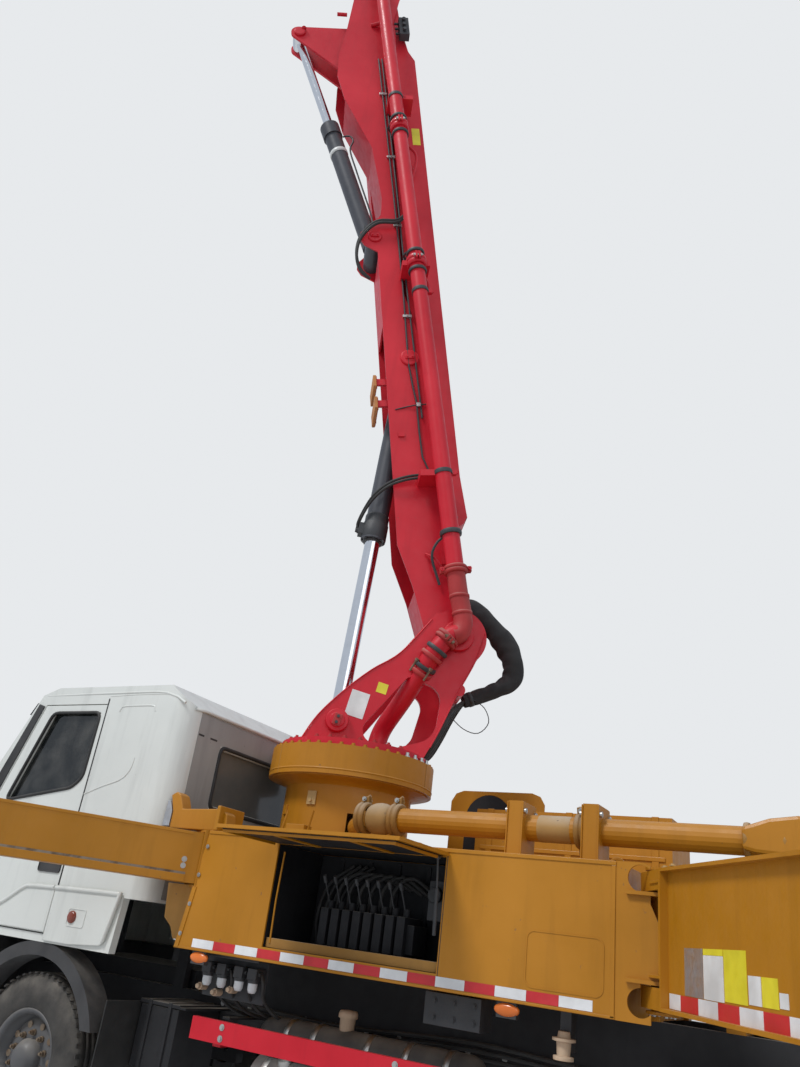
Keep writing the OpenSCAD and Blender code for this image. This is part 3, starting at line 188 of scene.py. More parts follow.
def painted(name, color, rough=0.32, dust=0.5, chips=0.35, coat=0.25, fade=0.12):
    """Painted steel: patchy fading, dust on flat tops, streaks, small chips to a dark primer."""
    m, nt, b = new_material(name)
    faded = tuple(c * (1 - fade) for c in color)
    fresh = tuple(min(1, c * (1 + fade * 0.7) + 0.012) for c in color)
    col = mix(nt, patches(nt, 1.3, 5, 0.3, 0.7), faded, fresh)
    streaks = ramp(nt, noise(nt, 9, 4, 0.6, (1, 1, 0.12)), [(0.52, 0.0), (0.8, 1.0)])
    col = mix(nt, times(nt, streaks, 0.28), col, tuple(c * 0.45 for c in color))
    dusty = times(nt, times(nt, up_facing(nt), dust), patches(nt, 7, 6, 0.25, 0.75, bottom=0.25))
    col = mix(nt, dusty, col, PAINT_DUST)
    chip = times(nt, patches(nt, 38, 2, 0.735, 0.75, rough=0.4), patches(nt, 3.1, 2, 0.5, 0.62, top=chips))
    nt.links.new(mix(nt, chip, col, PRIMER), b.inputs["Base Color"])
    gloss = scaled(nt, patches(nt, 14, 4, 0.3, 0.7), 0.18, rough)
    nt.links.new(math_node(nt, "MAXIMUM", gloss, times(nt, dusty, 0.85)), b.inputs["Roughness"])
    b.inputs["Coat Weight"].default_value = coat
    b.inputs["Specular IOR Level"].default_value = 0.32
    b.inputs["Coat Roughness"].default_value = 0.12
    bump(nt, b, scaled(nt, chip, -0.6, times(nt, noise(nt, 60, 3), 0.12)), 0.22, 0.004)
    return m


def plastic(name, color, rough=0.55, grain=180, dust=0.35, bump_strength=0.25):
    """Moulded or woven stuff: faint patches, dust that also clings to the sides, a fine grain."""
    m, nt, b = new_material(name)
    dark = tuple(c * 0.85 for c in color)
    light = tuple(min(1, c * 1.15 + 0.008) for c in color)
    col = mix(nt, patches(nt, 5, 5, 0.35, 0.7), dark, light)
    dusty = times(nt, scaled(nt, up_facing(nt), 0.8, 0.15), dust)
    dusty = times(nt, dusty, patches(nt, 9, 5, 0.3, 0.75, bottom=0.1))
    nt.links.new(mix(nt, dusty, col, PLASTIC_DUST), b.inputs["Base Color"])
    nt.links.new(scaled(nt, patches(nt, 20, 3, 0.3, 0.7), 0.15, rough), b.inputs["Roughness"])
    bump(nt, b, noise(nt, grain, 2), bump_strength, 0.002)
    return m


def metal(name, color, rough=0.25, dirt=0.25, dirt_color=(0.1, 0.085, 0.07)):
    """Bare or plated metal, dull and dark where dirt sits."""
    m, nt, b = new_material(name)
    dirty = times(nt, patches(nt, 11, 6, 0.45, 0.75), dirt)
    nt.links.new(mix(nt, dirty, color, dirt_color), b.inputs["Base Color"])
    b.inputs["Metallic"].default_value = 1.0
    gloss = scaled(nt, patches(nt, 40, 4, 0.3, 0.7), 0.12, rough)
    nt.links.new(math_node(nt, "ADD", gloss, times(nt, dirty, 0.5)), b.inputs["Roughness"])
    bump(nt, b, noise(nt, 120, 3, 0.5), 0.08, 0.002)
    return m


def glass(name, color, rough=0.03, alpha=0.86):
    """Dark glass with a light smear."""
    m, nt, b = new_material(name)
    smear = patches(nt, 6, 5, 0.4, 0.8)
    nt.links.new(mix(nt, times(nt, smear, 0.35), color, SMEAR), b.inputs["Base Color"])
    nt.links.new(scaled(nt, smear, 0.12, rough), b.inputs["Roughness"])
    b.inputs["Alpha"].default_value = alpha
    b.inputs["Specular IOR Level"].default_value = 0.6
    return m


RED = painted("paint_red", (0.58, 0.004, 0.018), 0.36, 0.1, 0.5, 0.08, 0.14)
WORN_RED = painted("paint_red_worn", (0.46, 0.035, 0.035), 0.5, 0.6, 1.0, 0.0, 0.3)
YELLOW = painted("paint_yellow", (0.43, 0.172, 0.002), 0.42, 0.2, 0.5, 0.06, 0.12)
WORN_CREAM = painted("paint_cream_worn", (0.42, 0.24, 0.075), 0.6, 0.9, 1.0, 0.0, 0.45)
# darker worn yellow; on the bay's sill and the sleeve skirts its darkness is painted shade
WORN_AND_SHADED_YELLOW = painted("paint_yellow_worn_and_shaded", (0.34, 0.17, 0.035), 0.6, 0.9, 1.0, 0.0, 0.35)
PALE_YELLOW = painted("paint_yellow_bleached", (0.55, 0.36, 0.15), 0.55, 0.6, 1.0, 0.0, 0.3)
WHITE = painted("paint_white", (0.66, 0.67, 0.63), 0.3, 0.25, 0.3, 0.3, 0.06)
# the cab's white darkened to grey: painted shade for the rear wall
SHADED_CAB_WHITE = painted("paint_white_painted_shade", (0.3, 0.295, 0.28), 0.45, 0.3, 0.3, 0.1, 0.12)
CHASSIS = painted("paint_chassis", (0.022, 0.022, 0.024), 0.5, 0.5, 0.2, 0.0, 0.2)
GREY = painted("paint_grey", (0.05, 0.052, 0.062), 0.36, 0.4, 0.3, 0.2, 0.2)
BLACK = plastic("plastic_black", (0.03, 0.03, 0.032), 0.55)
SEAT = plastic("cab_grey", (0.06, 0.058, 0.055), 0.75, 90)
RUBBER = plastic("rubber_black", (0.018, 0.018, 0.018), 0.6, 220, 0.25, 0.3)
TYRE = plastic("tyre_rubber", (0.022, 0.021, 0.02), 0.75, 120, 0.9, 0.5)
HOSE = plastic("hose_sleeve", (0.016, 0.016, 0.018), 0.7, 420, 0.25, 0.7)
CHROME = metal("chrome_rod", (0.8, 0.81, 0.83), 0.06, 0.1)
STEEL = metal("steel_zinc", (0.52, 0.52, 0.5), 0.34)
RUSTY = metal("steel_worn", (0.3, 0.24, 0.18), 0.55, 0.75, (0.16, 0.085, 0.04))
GLASS = glass("glass_dark", (0.012, 0.014, 0.014))
GREY_GLASS = glass("glass_grey", (0.12, 0.125, 0.12), 0.08, 0.93)
ORANGE = plastic("lens_orange", (0.72, 0.16, 0.015), 0.16, 300, 0.25, 0.1)
DULL_RED = plastic("lens_dull_red", (0.22, 0.045, 0.025), 0.16, 300, 0.25, 0.1)
CLEARLENS = plastic("lens_clear", (0.62, 0.64, 0.65), 0.1, 300, 0.15, 0.1)
TAPE_RED = plastic("tape_red", (0.55, 0.012, 0.02), 0.3, 500, 0.25, 0.5)
TAPE_WHITE = plastic("tape_white", (0.74, 0.74, 0.74), 0.3, 500, 0.3, 0.5)
STRAP = plastic("strap_dark", (0.03, 0.032, 0.036), 0.5, 120, 0.3, 0.3)
FABRIC = plastic("sleeve_fabric", (0.02, 0.02, 0.022), 0.85, 520, 0.25, 0.9)
SIGN_WHITE = plastic("sign_white", (0.7, 0.7, 0.68), 0.35, 60, 0.3, 0.05)
SIGN_SILVER = metal("sign_silver", (0.55, 0.56, 0.58), 0.42, 0.35)
SIGN_YELLOW = plastic("sign_yellow", (0.72, 0.62, 0.02), 0.35, 60, 0.3, 0.05)
PAD_TAN = plastic("pad_tan", (0.5, 0.2, 0.055), 0.7, 90, 0.4, 0.5)
# near-black painted shade for the bay's recess, the lid's underside and the arch's opening
PAINTED_SHADE_BLACK = painted("paint_shade_black", (0.012, 0.012, 0.014), 0.55, 0.5, 0.3, 0.0, 0.2)
PALE = plastic("worn_pipe_end", (0.5, 0.36, 0.24), 0.7, 90, 0.5, 0.8)

PAINTED_NODES = (
    (CHASSIS, "frame engine axles knuckle_l knuckle_r hopper_grate"),
    (BLACK, "mudguards cab_front lamps"),
    (SEAT, "cab_interior"),
    (YELLOW, "deck_body deck_gear pedestal deck_pipe far_tank pump_cylinders hopper side_lid"),
    (YELLOW, "front_beam_l front_beam_r rear_leg_l rear_leg_r"),
    (RED, "side_guards turret arm_1 arm_2 arm_3 arm_4 pipe_1 lever_2 lever_3 lever_4"),
    (WHITE, "cab_shell door_l door_r"),
    (GREY_GLASS, "cab_glass"),
    (GLASS, "door_glass_l door_glass_r"),
    (CHROME, "front_jack_l front_jack_r rear_jack_l rear_jack_r"),
    (CHROME, "cyl_1_rod cyl_2_rod cyl_3_rod cyl_4_rod"),
    (GREY, "tanks cyl_1_barrel cyl_2_barrel cyl_3_barrel cyl_4_barrel"),
    (HOSE, "hose_sleeve"),
    (TYRE, "wheel_fl wheel_fr wheel_ml wheel_mr wheel_rl wheel_rr"),
)
PAINT_OF = {node: mat for mat, names in PAINTED_NODES for node in names.split()}


def soften(obj, width, degrees):
    """A small bevel on every edge sharper than the angle."""
    bevel = obj.modifiers.new("soft_edges", "BEVEL")
    bevel.width = width
    bevel.segments = 2
    bevel.limit_method = "ANGLE"
    bevel.angle_limit = math.radians(degrees)
    return bevel


for node_name, obj in NODES.items():
    mat = PAINT_OF[node_name]
    if obj.material_slots:
        for slot in obj.material_slots:
            slot.material = mat
    else:
        obj.data.materials.append(mat)
    if mat not in (TYRE, GLASS, GREY_GLASS):
        bev = soften(obj, 0.004, 40)
        bev.use_clamp_overlap = True
        bev.harden_normals = False


# mesh builder
def span(s, a, b):
    """The Y range from a to b out on side s, lower end first."""
    return sorted((s * a, s * b))


def band(r0, r1, h):
    """Profile of a flat collar from r0 to r1, 2 h long."""
    return [(r0, -h), (r1, -h), (r1, h), (r0, h)]


def bead(r1, r2, h, r0=PIPE_R):
    """Profile of a ring whose outside rises from r1 to r2 at its middle."""
    return [(r0, -h), (r1, -h), (r2, 0.0), (r1, h), (r0, h)]


def round_row(c, r, n, axis, a0=0.0):
    """n points on a circle of radius r round c, in the plane across the axis."""
    pts = []
    for k in range(n):
        a = a0 + 2 * math.pi * k / n
        u, w = r * math.cos(a), r * math.sin(a)
        step = {"x": (0, u, w), "y": (u, 0, w), "z": (u, w, 0)}[axis]
        pts.append(Vector(c) + Vector(step))
    return pts


class Shape:
    """Collects solids in one mesh. Every call takes points in the frame m."""

    def __init__(self, m=ONE):
        self.v, self.f, self.s, self.m = [], [], [], m

    def add(self, verts, faces, smooth=False, m=ONE):
        base = len(self.v)
        mm = self.m @ m
        self.v += [mm @ Vector(p) for p in verts]
        self.f += [tuple(base + i for i in f) for f in faces]
        self.s += [smooth] * len(faces)
        return self

    def box(self, lo, hi, m=ONE):
        (a, b, c), (d, e, f) = lo, hi
        p = [(a, b, c), (d, b, c), (d, e, c), (a, e, c), (a, b, f), (d, b, f), (d, e, f), (a, e, f)]
        q = [(0, 3, 2, 1), (4, 5, 6, 7), (0, 1, 5, 4), (1, 2, 6, 5), (2, 3, 7, 6), (3, 0, 4, 7)]
        return self.add(p, q, False, m)

    def slab(self, s, x, y, z, m=ONE):
        """A box over the ranges x, y and z, with y measured out on side s."""
        y0, y1 = span(s, *y)
        return self.box((x[0], y0, z[0]), (x[1], y1, z[1]), m)

    def rod(self, p, q, r, n=20):
        """A round bar from p to q."""
        p, q = Vector(p), Vector(q)
        d = (q - p).normalized()
        u = d.orthogonal().normalized()
        w = d.cross(u)
        vs = []
        for c in (p, q):
            for k in range(n):
                a = 2 * math.pi * k / n
                vs.append(c + r * (math.cos(a) * u + math.sin(a) * w))
        fs = [(k, (k + 1) % n, n + (k + 1) % n, n + k) for k in range(n)]
        self.add(vs, fs, True)
        return self.add(vs, [tuple(range(n - 1, -1, -1)), tuple(range(n, 2 * n))])

    def loft(self, frames, r, n):
        """A skin of n-sided rings; each frame is a centre and the ring's two directions."""
        vs, fs = [], []
        for p, u, w in frames:
            for k in range(n):
                a = 2 * math.pi * k / n
                vs.append(p + r * (math.cos(a) * u + math.sin(a) * w))
        for i in range(len(frames) - 1):
            for k in range(n):
                fs.append((i * n + k, i * n + (k + 1) % n, (i + 1) * n + (k + 1) % n, (i + 1) * n + k))
        return vs, fs

    def tube(self, pts, r, n=10, step=None):
        """A hose through points, rounded at the turns."""
        pts = smooth_line([Vector(p) for p in pts], step or r * 1.6)
        u = (pts[1] - pts[0]).normalized().orthogonal().normalized()
        frames = []
        for i, p in enumerate(pts):
            t = (pts[min(len(pts) - 1, i + 1)] - pts[max(0, i - 1)]).normalized()
            u = (u - t * u.dot(t)).normalized()
            frames.append((p, u, t.cross(u)))
        vs, fs = self.loft(frames, r, n)
        self.add(vs, fs, True)
        last = len(vs) - n
        return self.add(vs, [tuple(range(n - 1, -1, -1)), tuple(range(last, last + n))])

    def prism(self, pts, y0, y1):
        """An outline in X and Z, drawn from y0 to y1."""
        n = len(pts)
        vs = [(x, y0, z) for x, z in pts] + [(x, y1, z) for x, z in pts]
        fs = [(k, (k + 1) % n, n + (k + 1) % n, n + k) for k in range(n)]
        return self.add(vs, fs + [tuple(range(n - 1, -1, -1)), tuple(range(n, 2 * n))])

    def turn(self, profile, c, axis, n=32):
        """A profile of (radius, height) turned about the axis through c."""
        c, axis = Vector(c), Vector(axis).normalized()
        u = axis.orthogonal().normalized()
        w = axis.cross(u)
        m = len(profile)
        vs, fs = [], []
        for k in range(n):
            a = 2 * math.pi * k / n
            d = math.cos(a) * u + math.sin(a) * w
            vs += [c + r * d + h * axis for r, h in profile]
            k2 = (k + 1) % n
            fs += [(k * m + i, k * m + i + 1, k2 * m + i + 1, k2 * m + i) for i in range(m - 1)]
        return self.add(vs, fs, True)

    def bolts(self, centres, axis, r=0.011, h=0.009, washer=True):
        axis = Vector(axis).normalized()
        for c in centres:
            c = Vector(c)
            if washer:
                self.rod(c, c + axis * h * 0.3, r * 1.55, 14)
            self.rod(c, c + axis * h, r, 6)
        return self

    def done(self, name, mat, body="chassis", bevel=0.0, replaces=()):
        """Makes the object; body None leaves it without a body."""
        me = bpy.data.meshes.new(name)
        me.from_pydata([tuple(p) for p in self.v], [], self.f)
        me.polygons.foreach_set("use_smooth", self.s)
        me.update()
        bm = bmesh.new()
        bm.from_mesh(me)
        bmesh.ops.recalc_face_normals(bm, faces=bm.faces)
        bm.to_mesh(me)
        bm.free()
        o = bpy.data.objects.new(name, me)
        bpy.context.scene.collection.objects.link(o)
        me.materials.append(mat)
        if bevel:
            soften(o, bevel, 35)
        if body:
            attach(o, body)
        if replaces:
            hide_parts(*replaces)
        return o


def smooth_line(pts, step):
    """Points along a Catmull-Rom line through pts, about one step apart."""
    if len(pts) < 3:
        n = max(1, int((pts[1] - pts[0]).length / max(step * 6, 0.05)))
        return [pts[0].lerp(pts[1], i / n) for i in range(n + 1)]
    out = []
    ext = [pts[0] * 2 - pts[1]] + pts + [pts[-1] * 2 - pts[-2]]
    for i in range(1, len(ext) - 2):
        p0, p1, p2, p3 = ext[i - 1:i + 3]
        n = max(2, min(24, int((p2 - p1).length / step)))
        for k in range(n):
            t = k / n
            out.append(0.5 * ((2 * p1) + (p2 - p0) * t + (2 * p0 - 5 * p1 + 4 * p2 - p3) * t * t
                              + (3 * p1 - p0 - 3 * p2 + p3) * t * t * t))
    return out + [pts[-1]]


def rounded_frame(shape, x0, x1, z0, z1, r, w, y, t, s):
    """A raised rounded frame, w wide and t thick, on the face y of side s."""
    outer, inner = [], []
    corners = ((x1 - r, z1 - r, 0), (x0 + r, z1 - r, 90), (x0 + r, z0 + r, 180), (x1 - r, z0 + r, 270))
    for cx, cz, a0 in corners:
        for k in range(7):
            a = math.radians(a0 + 15 * k)
            outer.append((cx + r * math.cos(a), cz + r * math.sin(a)))
            inner.append((cx + (r - w) * math.cos(a), cz + (r - w) * math.sin(a)))
    n = len(outer)
    vs = []
    for pts, yy in ((outer, y), (inner, y), (inner, y + s * t), (outer, y + s * t)):
        vs += [(x, yy, z) for x, z in pts]
    fs = []
    for k in range(n):
        k2 = (k + 1) % n
        for a, b in ((0, 3), (3, 2), (2, 1)):
            fs.append((a * n + k, a * n + k2, b * n + k2, b * n + k))
    shape.add(vs, fs)


def ring_line(shape, pts, r, n=8):
    """A closed rubber seal along straight stretches with rounded corners."""
    pts = [Vector(p) for p in pts]
    line = []
    for i, p in enumerate(pts):
        a, b = pts[i - 1], pts[(i + 1) % len(pts)]
        da, db = (a - p).normalized(), (b - p).normalized()
        rad = min(0.06, (a - p).length * 0.4, (b - p).length * 0.4)
        for k in range(5):
            t = k / 4
            line.append((p + da * rad) * (1 - t) ** 2 + p * 2 * t * (1 - t) + (p + db * rad) * t ** 2)
    cnt = len(line)
    axis = (line[cnt // 3] - line[0]).cross(line[2 * cnt // 3] - line[0]).normalized()
    frames = []
    for i in range(cnt):
        t = (line[(i + 1) % cnt] - line[max(i - 1, 0)]).normalized()
        frames.append((line[i], axis, t.cross(axis)))
    vs, fs = shape.loft(frames, r, n)
    last = (cnt - 1) * n
    fs += [(last + k, last + (k + 1) % n, (k + 1) % n, k) for k in range(n)]
    shape.add(vs, fs, True)


CLAMP_BOLT = ((-0.046, 0.052, 0.009, 10), (-0.046, -0.026, 0.017, 6), (0.026, 0.04, 0.017, 6))


def ring_clamp(body, bolts, c, d, side, half=0.055):
    """A two-part pipe clamp about the line d through c, with its ears and bolts towards side."""
    r = PIPE_R
    c, d, side = Vector(c), Vector(d).normalized(), Vector(side)
    side = (side - d * side.dot(d)).normalized()
    up = d.cross(side)
    low = [(r, -half), (r + 0.018, -half), (r + 0.026, -half * 0.7), (r + 0.026, -half * 0.25)]
    body.turn(low + [(r + 0.016, 0.0)] + [(radius, -h) for radius, h in reversed(low)], c, d, 32)
    m = Matrix((side, up, d)).transposed().to_4x4()
    m.translation = c
    for sg in (-1, 1):
        for y in ((-0.026, -0.006), (0.006, 0.026)):
            a, b = span(sg, r + 0.015, r + 0.058)
            body.box((a, y[0], -half * 0.72), (b, y[1], half * 0.72), m)
        q = sg * (r + 0.042)
        for y0, y1, radius, n in CLAMP_BOLT:
            bolts.rod(m @ Vector((q, y0, 0)), m @ Vector((q, y1, 0)), radius, n)


# wheels
TREAD_RIBS = ((-0.092, -0.05), (-0.044, -0.006), (0.006, 0.044), (0.05, 0.092))
GROOVE_R = TYRE_R - 0.013
SHOULDER_CUTS, SHOULDER_Y = 54, 0.112
WHEEL_STUDS, STUD_R, DIMPLE_R = 10, 0.155, 0.205
WHEEL_STEEL = painted("wheel_steel", (0.085, 0.085, 0.088), 0.42, 0.5, 0.5, 0.05, 0.15)


def tyre_profile(w):
    """Half width w: inner bead, side wall, four ribs with grooves between, side wall, outer bead."""
    wall = [(RIM_R - 0.008, -w + 0.03), (RIM_R + 0.02, -w + 0.006), (RIM_R + 0.06, -w), (TYRE_R - 0.12, -w),
            (TYRE_R - 0.05, -w + 0.012), (TYRE_R - 0.018, -w + 0.033), (TYRE_R - 0.002, -w + 0.045)]
    ribs = []
    for a, b in TREAD_RIBS:
        ribs += [(GROOVE_R, a - 0.001), (TYRE_R, a), (TYRE_R, b), (GROOVE_R, b + 0.001)]
    return wall + ribs[1:-1] + [(r, -h) for r, h in reversed(wall)]


def rim_profile(f, w, flip):
    """The disc at f, the dish and both flanges; flip -1 turns the rim round."""
    disc = [(0.115, f), (RIM_R - 0.105, f), (RIM_R - 0.06, f - 0.02 * flip), (RIM_R - 0.035, f - 0.05 * flip)]
    flanges = [(-0.028, 0.75), (-0.012, 0.86), (0.012, 0.93), (0.012, 0.88), (-0.008, 0.7), (-0.01, -0.8),
               (0.006, -0.9), (-0.03, -0.85)]
    back = [(RIM_R - 0.032, f - 0.075 * flip), (RIM_R - 0.07, f - 0.035 * flip), (0.115, f - 0.014 * flip)]
    return disc + [(RIM_R + dr, w * share * flip) for dr, share in flanges] + back


def wheel(place, x, ys, face):
    """Tyres at ys (signed) on one hub; face is the rim disc's place, outwards of each tyre's middle."""
    s = 1 if ys[0] > 0 else -1
    node = f"wheel_{place}"
    out_y = Vector((0, s, 0))
    tyres, rims, nuts = Shape(), Shape(), Shape()
    for i, y in enumerate(ys):
        c = (x, y, TYRE_R)
        tyres.turn(tyre_profile(TYRE_W / 2), c, out_y, 72)
        for k in range(SHOULDER_CUTS):
            m = at(*c) @ turned(360 * k / SHOULDER_CUTS, "Y")
            for yc in (-SHOULDER_Y, SHOULDER_Y):
                tyres.box((-0.013, yc - 0.02, TYRE_R - 0.012), (0.013, yc + 0.02, TYRE_R - 0.0005), m)
        flip = -1 if i == 1 else 1
        rims.turn(rim_profile(face * flip, TYRE_W / 2, flip), c, out_y, 48)
    disc = Vector((x, ys[0], TYRE_R)) + out_y * face
    cap = 0.075 if len(ys) == 1 else 0.1
    hub = [(0.118, -0.02), (0.118, 0.03), (0.105, 0.05), (0.085, cap), (0.06, cap + 0.012),
           (0.0, cap + 0.015)]
    rims.turn(hub, disc, out_y, 32)
    for p in round_row(disc, STUD_R, WHEEL_STUDS, "y", math.pi / WHEEL_STUDS):
        for y0, y1, r, n in ((0, 0.012, 0.021, 16), (0.012, 0.034, 0.016, 6), (0.03, 0.048, 0.009, 10)):
            nuts.rod(p + out_y * y0, p + out_y * y1, r, n)
    for p in round_row(disc, DIMPLE_R, WHEEL_STUDS, "y"):
        nuts.rod(p - out_y * 0.004, p + out_y * 0.0015, 0.022, 18)
    t = tyres.done(f"tyre_{place}", TYRE, node, replaces=(node,))
    r = rims.done(f"rim_{place}", WHEEL_STEEL, node)
    nuts.done(f"wheel_nuts_{place}", RUSTY, node)


for s, n in SIDES:
    wheel(f"f{n}", AXLE1, [s * 1.025], 0.055)
    for x, k in ((AXLE2, "m"), (AXLE3, "r")):
        wheel(f"{k}{n}", x, [s * 1.0675, s * 0.7425], -0.055)

# reflective tape along the foot of the side boxes, white first
TAPE_X0, TAPE_X1, TAPE_Z, TAPE_H, TAPE_BLOCKS = -3.09, -0.47, 1.372, 0.05, 15
for s, n in SIDES:
    red, white = Shape(), Shape()
    step = (TAPE_X1 - TAPE_X0) / TAPE_BLOCKS
    for k in range(TAPE_BLOCKS):
        x = (TAPE_X0 + step * k + 0.0005, TAPE_X0 + step * (k + 1) - 0.0005)
        (red if k % 2 else white).slab(s, x, (BOX_Y, BOX_Y + 0.0015), (TAPE_Z, TAPE_Z + TAPE_H))
    red.done(f"tape_red_side_{n}", TAPE_RED)
    white.done(f"tape_white_side_{n}", TAPE_WHITE)

# slewing ring, pedestal drum and its plates
STUD_ARC = (126, 152)
studs, ring_bolts = Shape(SLEW), Shape(SLEW)
for p in round_row((0, 0, RING_TOP), 0.632, 44, "z", math.pi / 44):
    if STUD_ARC[0] < math.degrees(math.atan2(p.y, p.x)) < STUD_ARC[1]:
        studs.bolts([p], UP, 0.014, 0.034)
    else:
        ring_bolts.bolts([p], UP, 0.014, 0.02)
studs.done("flange_studs", STEEL)
ring_bolts.done("flange_bolts", YELLOW)
drum = Shape(SLEW)
drum.turn([(0.502, 2.16), (0.507, 2.165), (0.507, 2.195), (0.502, 2.2)], ORIGIN, UP, 64)
drum.turn([(0.501, 2.555), (0.506, 2.562), (0.56, 2.588), (0.63, 2.602), (0.63, 2.612)], ORIGIN, UP, 72)
drum.turn([(0.6555, 2.64), (0.659, 2.644), (0.659, 2.65), (0.6555, 2.654)], ORIGIN, UP, 72)
for degrees in (20, 110, 200, 290):
    drum.box((0.498, -0.035, 2.33), (0.512, 0.035, 2.4), turned(degrees, "Z"))
drum.done("drum_cone", YELLOW, bevel=0.002)
drum_plate, m = Shape(SLEW), turned(55, "Z")
drum_plate.box((0.5, -0.038, 2.4), (0.5125, 0.038, 2.499), m)
drum_plate.rod(m @ Vector((0.5125, 0, 2.43)), m @ Vector((0.53, 0, 2.43)), 0.012, 12)
drum_plate.done("drum_plate", PALE_YELLOW, bevel=0.002)
flange_seam = Shape(SLEW)
for degrees in (28, 148, 268):
    flange_seam.box((0.6545, -0.003, 2.612), (0.657, 0.003, 2.828), turned(degrees, "Z"))
flange_seam.done("flange_seams", WORN_AND_SHADED_YELLOW)
foot_row = Shape(SLEW)
foot_row.bolts(round_row((0, 0, DECK_Z + 0.0205), 0.532, 24, "z"), UP, 0.012, 0.016)
foot_row.done("drum_foot_bolts", PALE_YELLOW)

# turret: foot bolts clear of its two plates, pin covers and edge welds
TURRET_PLATE_Y = 0.33
turret_bolts = Shape(SLEW)
for p in round_row((0, 0, 2.888), 0.555, 30, "z", math.pi / 30):
    under_plate = abs(abs(p.y) - TURRET_PLATE_Y) < 0.055 and -0.62 < p.x < 0.46
    if not under_plate:
        turret_bolts.rod(p, p + Vector((0, 0, 0.03)), 0.012, 10)
        turret_bolts.rod(p, p + Vector((0, 0, 0.016)), 0.022, 6)
turret_bolts.done("turret_bolts", WORN_RED, "turret")

covers, keepers, cover_bolts = Shape(SLEW), Shape(SLEW), Shape(SLEW)


def pin_keeper(s, c, degrees, half, thick, dz, r):
    """A keeper plate and its two bolts on a pin cover at c, on side s."""
    m = at(*c) @ turned(degrees, "Y")
    keepers.slab(s, (-half[0], half[0]), (0, thick), (-half[1], half[1]), m)
    for z in (-dz, dz):
        p = m @ Vector((0, s * thick, z))
        cover_bolts.rod(p, p + Vector((0, s * 0.012, 0)), r, 6)


for s in (1, -1):
    out_y = (0, s, 0)
    y = s * 0.385
    covers.turn([(0.091, -0.02), (0.091, 0.002), (0.085, 0.01), (0.06, 0.01), (0.056, 0.02),
                 (0.0, 0.02)],
                (0.19, y, 3.06), out_y, 40)
    pin_keeper(s, (0.19, y + s * 0.02, 3.06), -12, (0.03, 0.046), 0.01, 0.024, 0.013)
    y = s * 0.38
    covers.turn([(0.132, -0.02), (0.132, 0.0), (0.126, 0.012), (0.075, 0.012), (0.07, 0.006), (0.0, 0.006)],
                (PIVOT[0], y, PIVOT[1]), out_y, 40)
    pin_keeper(s, (PIVOT[0], y + s * 0.006, PIVOT[1]), 20, (0.035, 0.052), 0.012, 0.028, 0.014)
covers.done("turret_pin_covers", RED, "turret", 0.002)
keepers.done("turret_pin_keepers", WORN_RED, "turret", 0.003)
cover_bolts.done("turret_cover_bolts", STRAP, "turret")
TURRET_EDGES = (
    ((0.45, 2.875), (0.345, 3.087), (0.164, 3.318), (-0.029, 3.515), (-0.24, 3.69), (-0.47, 4.02)),
    ((-0.93, 3.96), (-0.86, 3.7), (-0.74, 3.42), (-0.69, 3.28), (-0.62, 3.09), (-0.565, 2.96)))
welds = Shape(SLEW)
for s in (1, -1):
    for line in TURRET_EDGES:
        welds.tube([(x, s * 0.352, z) for x, z in line], 0.006, 6, 0.05)
welds.done("turret_welds", RED, "turret")
for name, mat, x, z, w, h in (("white", SIGN_WHITE, 0.05, 3.215, 0.15, 0.21),
                              ("yellow", SIGN_YELLOW, -0.13, 3.372, 0.085, 0.085)):
    plate = Shape(SLEW @ at(x, 0.3502, z) @ turned(-10, "Y"))
    plate.box((-w / 2, 0, -h / 2), (w / 2, 0.002, h / 2))
    plate.done(f"turret_plate_{name}", mat, "turret", 0.0008)

# pipe along the first section: its line, couplings, rings and straps
PIPE_START, PIPE_END = Vector((0.35, ARM_PIPE_Y, 0.02)), Vector((8.35, ARM_PIPE_Y, -0.19))
PIPE_DIR = (PIPE_END - PIPE_START).normalized()


def pipe_at(x, dx=0, dy=0, dz=0):
    """The pipe's centre at x along the section, moved by dx, dy and dz."""
    return PIPE_START + PIPE_DIR * ((x - PIPE_START.x) / PIPE_DIR.x) + Vector((dx, dy, dz))


coupling, coupling_bolts, rings = Shape(ARM), Shape(ARM), Shape(ARM)
for x in (3.92, 5.84, 8.26):
    ring_clamp(coupling, coupling_bolts, pipe_at(x), PIPE_DIR, (0, 1, 0))
    for dx in (-0.115, 0.115):
        rings.turn(bead(0.092, 0.095, 0.016), pipe_at(x + dx), PIPE_DIR, 32)
coupling.done("pipe_couplings", RED, "arm_1", 0.002)
coupling_bolts.done("coupling_bolts", STEEL, "arm_1")
x = 0.905
rings.turn(bead(0.094, 0.098, 0.02), pipe_at(x), PIPE_DIR, 32)
rings.tube([pipe_at(x, 0, -0.07, -0.04), pipe_at(x, -0.03, -0.1, -0.1), pipe_at(x, -0.16, -0.13, -0.16),
            (0.5, 0.265, -0.1)], 0.012, 10, 0.03)
rings.done("pipe_rings", STRAP, "arm_1", 0.001)
foot_flange, foot_bolts = Shape(ARM), Shape(ARM)
ring_clamp(foot_flange, foot_bolts, pipe_at(0.56), PIPE_DIR, UP, 0.034)
foot_flange.done("foot_flange", WORN_RED, "arm_1", 0.002)
foot_bolts.done("foot_flange_bolts", RED, "arm_1")
straps, strap_feet = Shape(ARM), Shape(ARM)
for x in (1.5, 3.55, 6.3):
    straps.turn(band(0.078, 0.084, 0.02), pipe_at(x), PIPE_DIR, 36)
    strap_feet.box(pipe_at(x, -0.022, -0.02, 0.078), pipe_at(x, 0.022, 0.02, 0.12))
    strap_feet.bolts([pipe_at(x, 0, 0, 0.12)], UP, 0.012, 0.014)
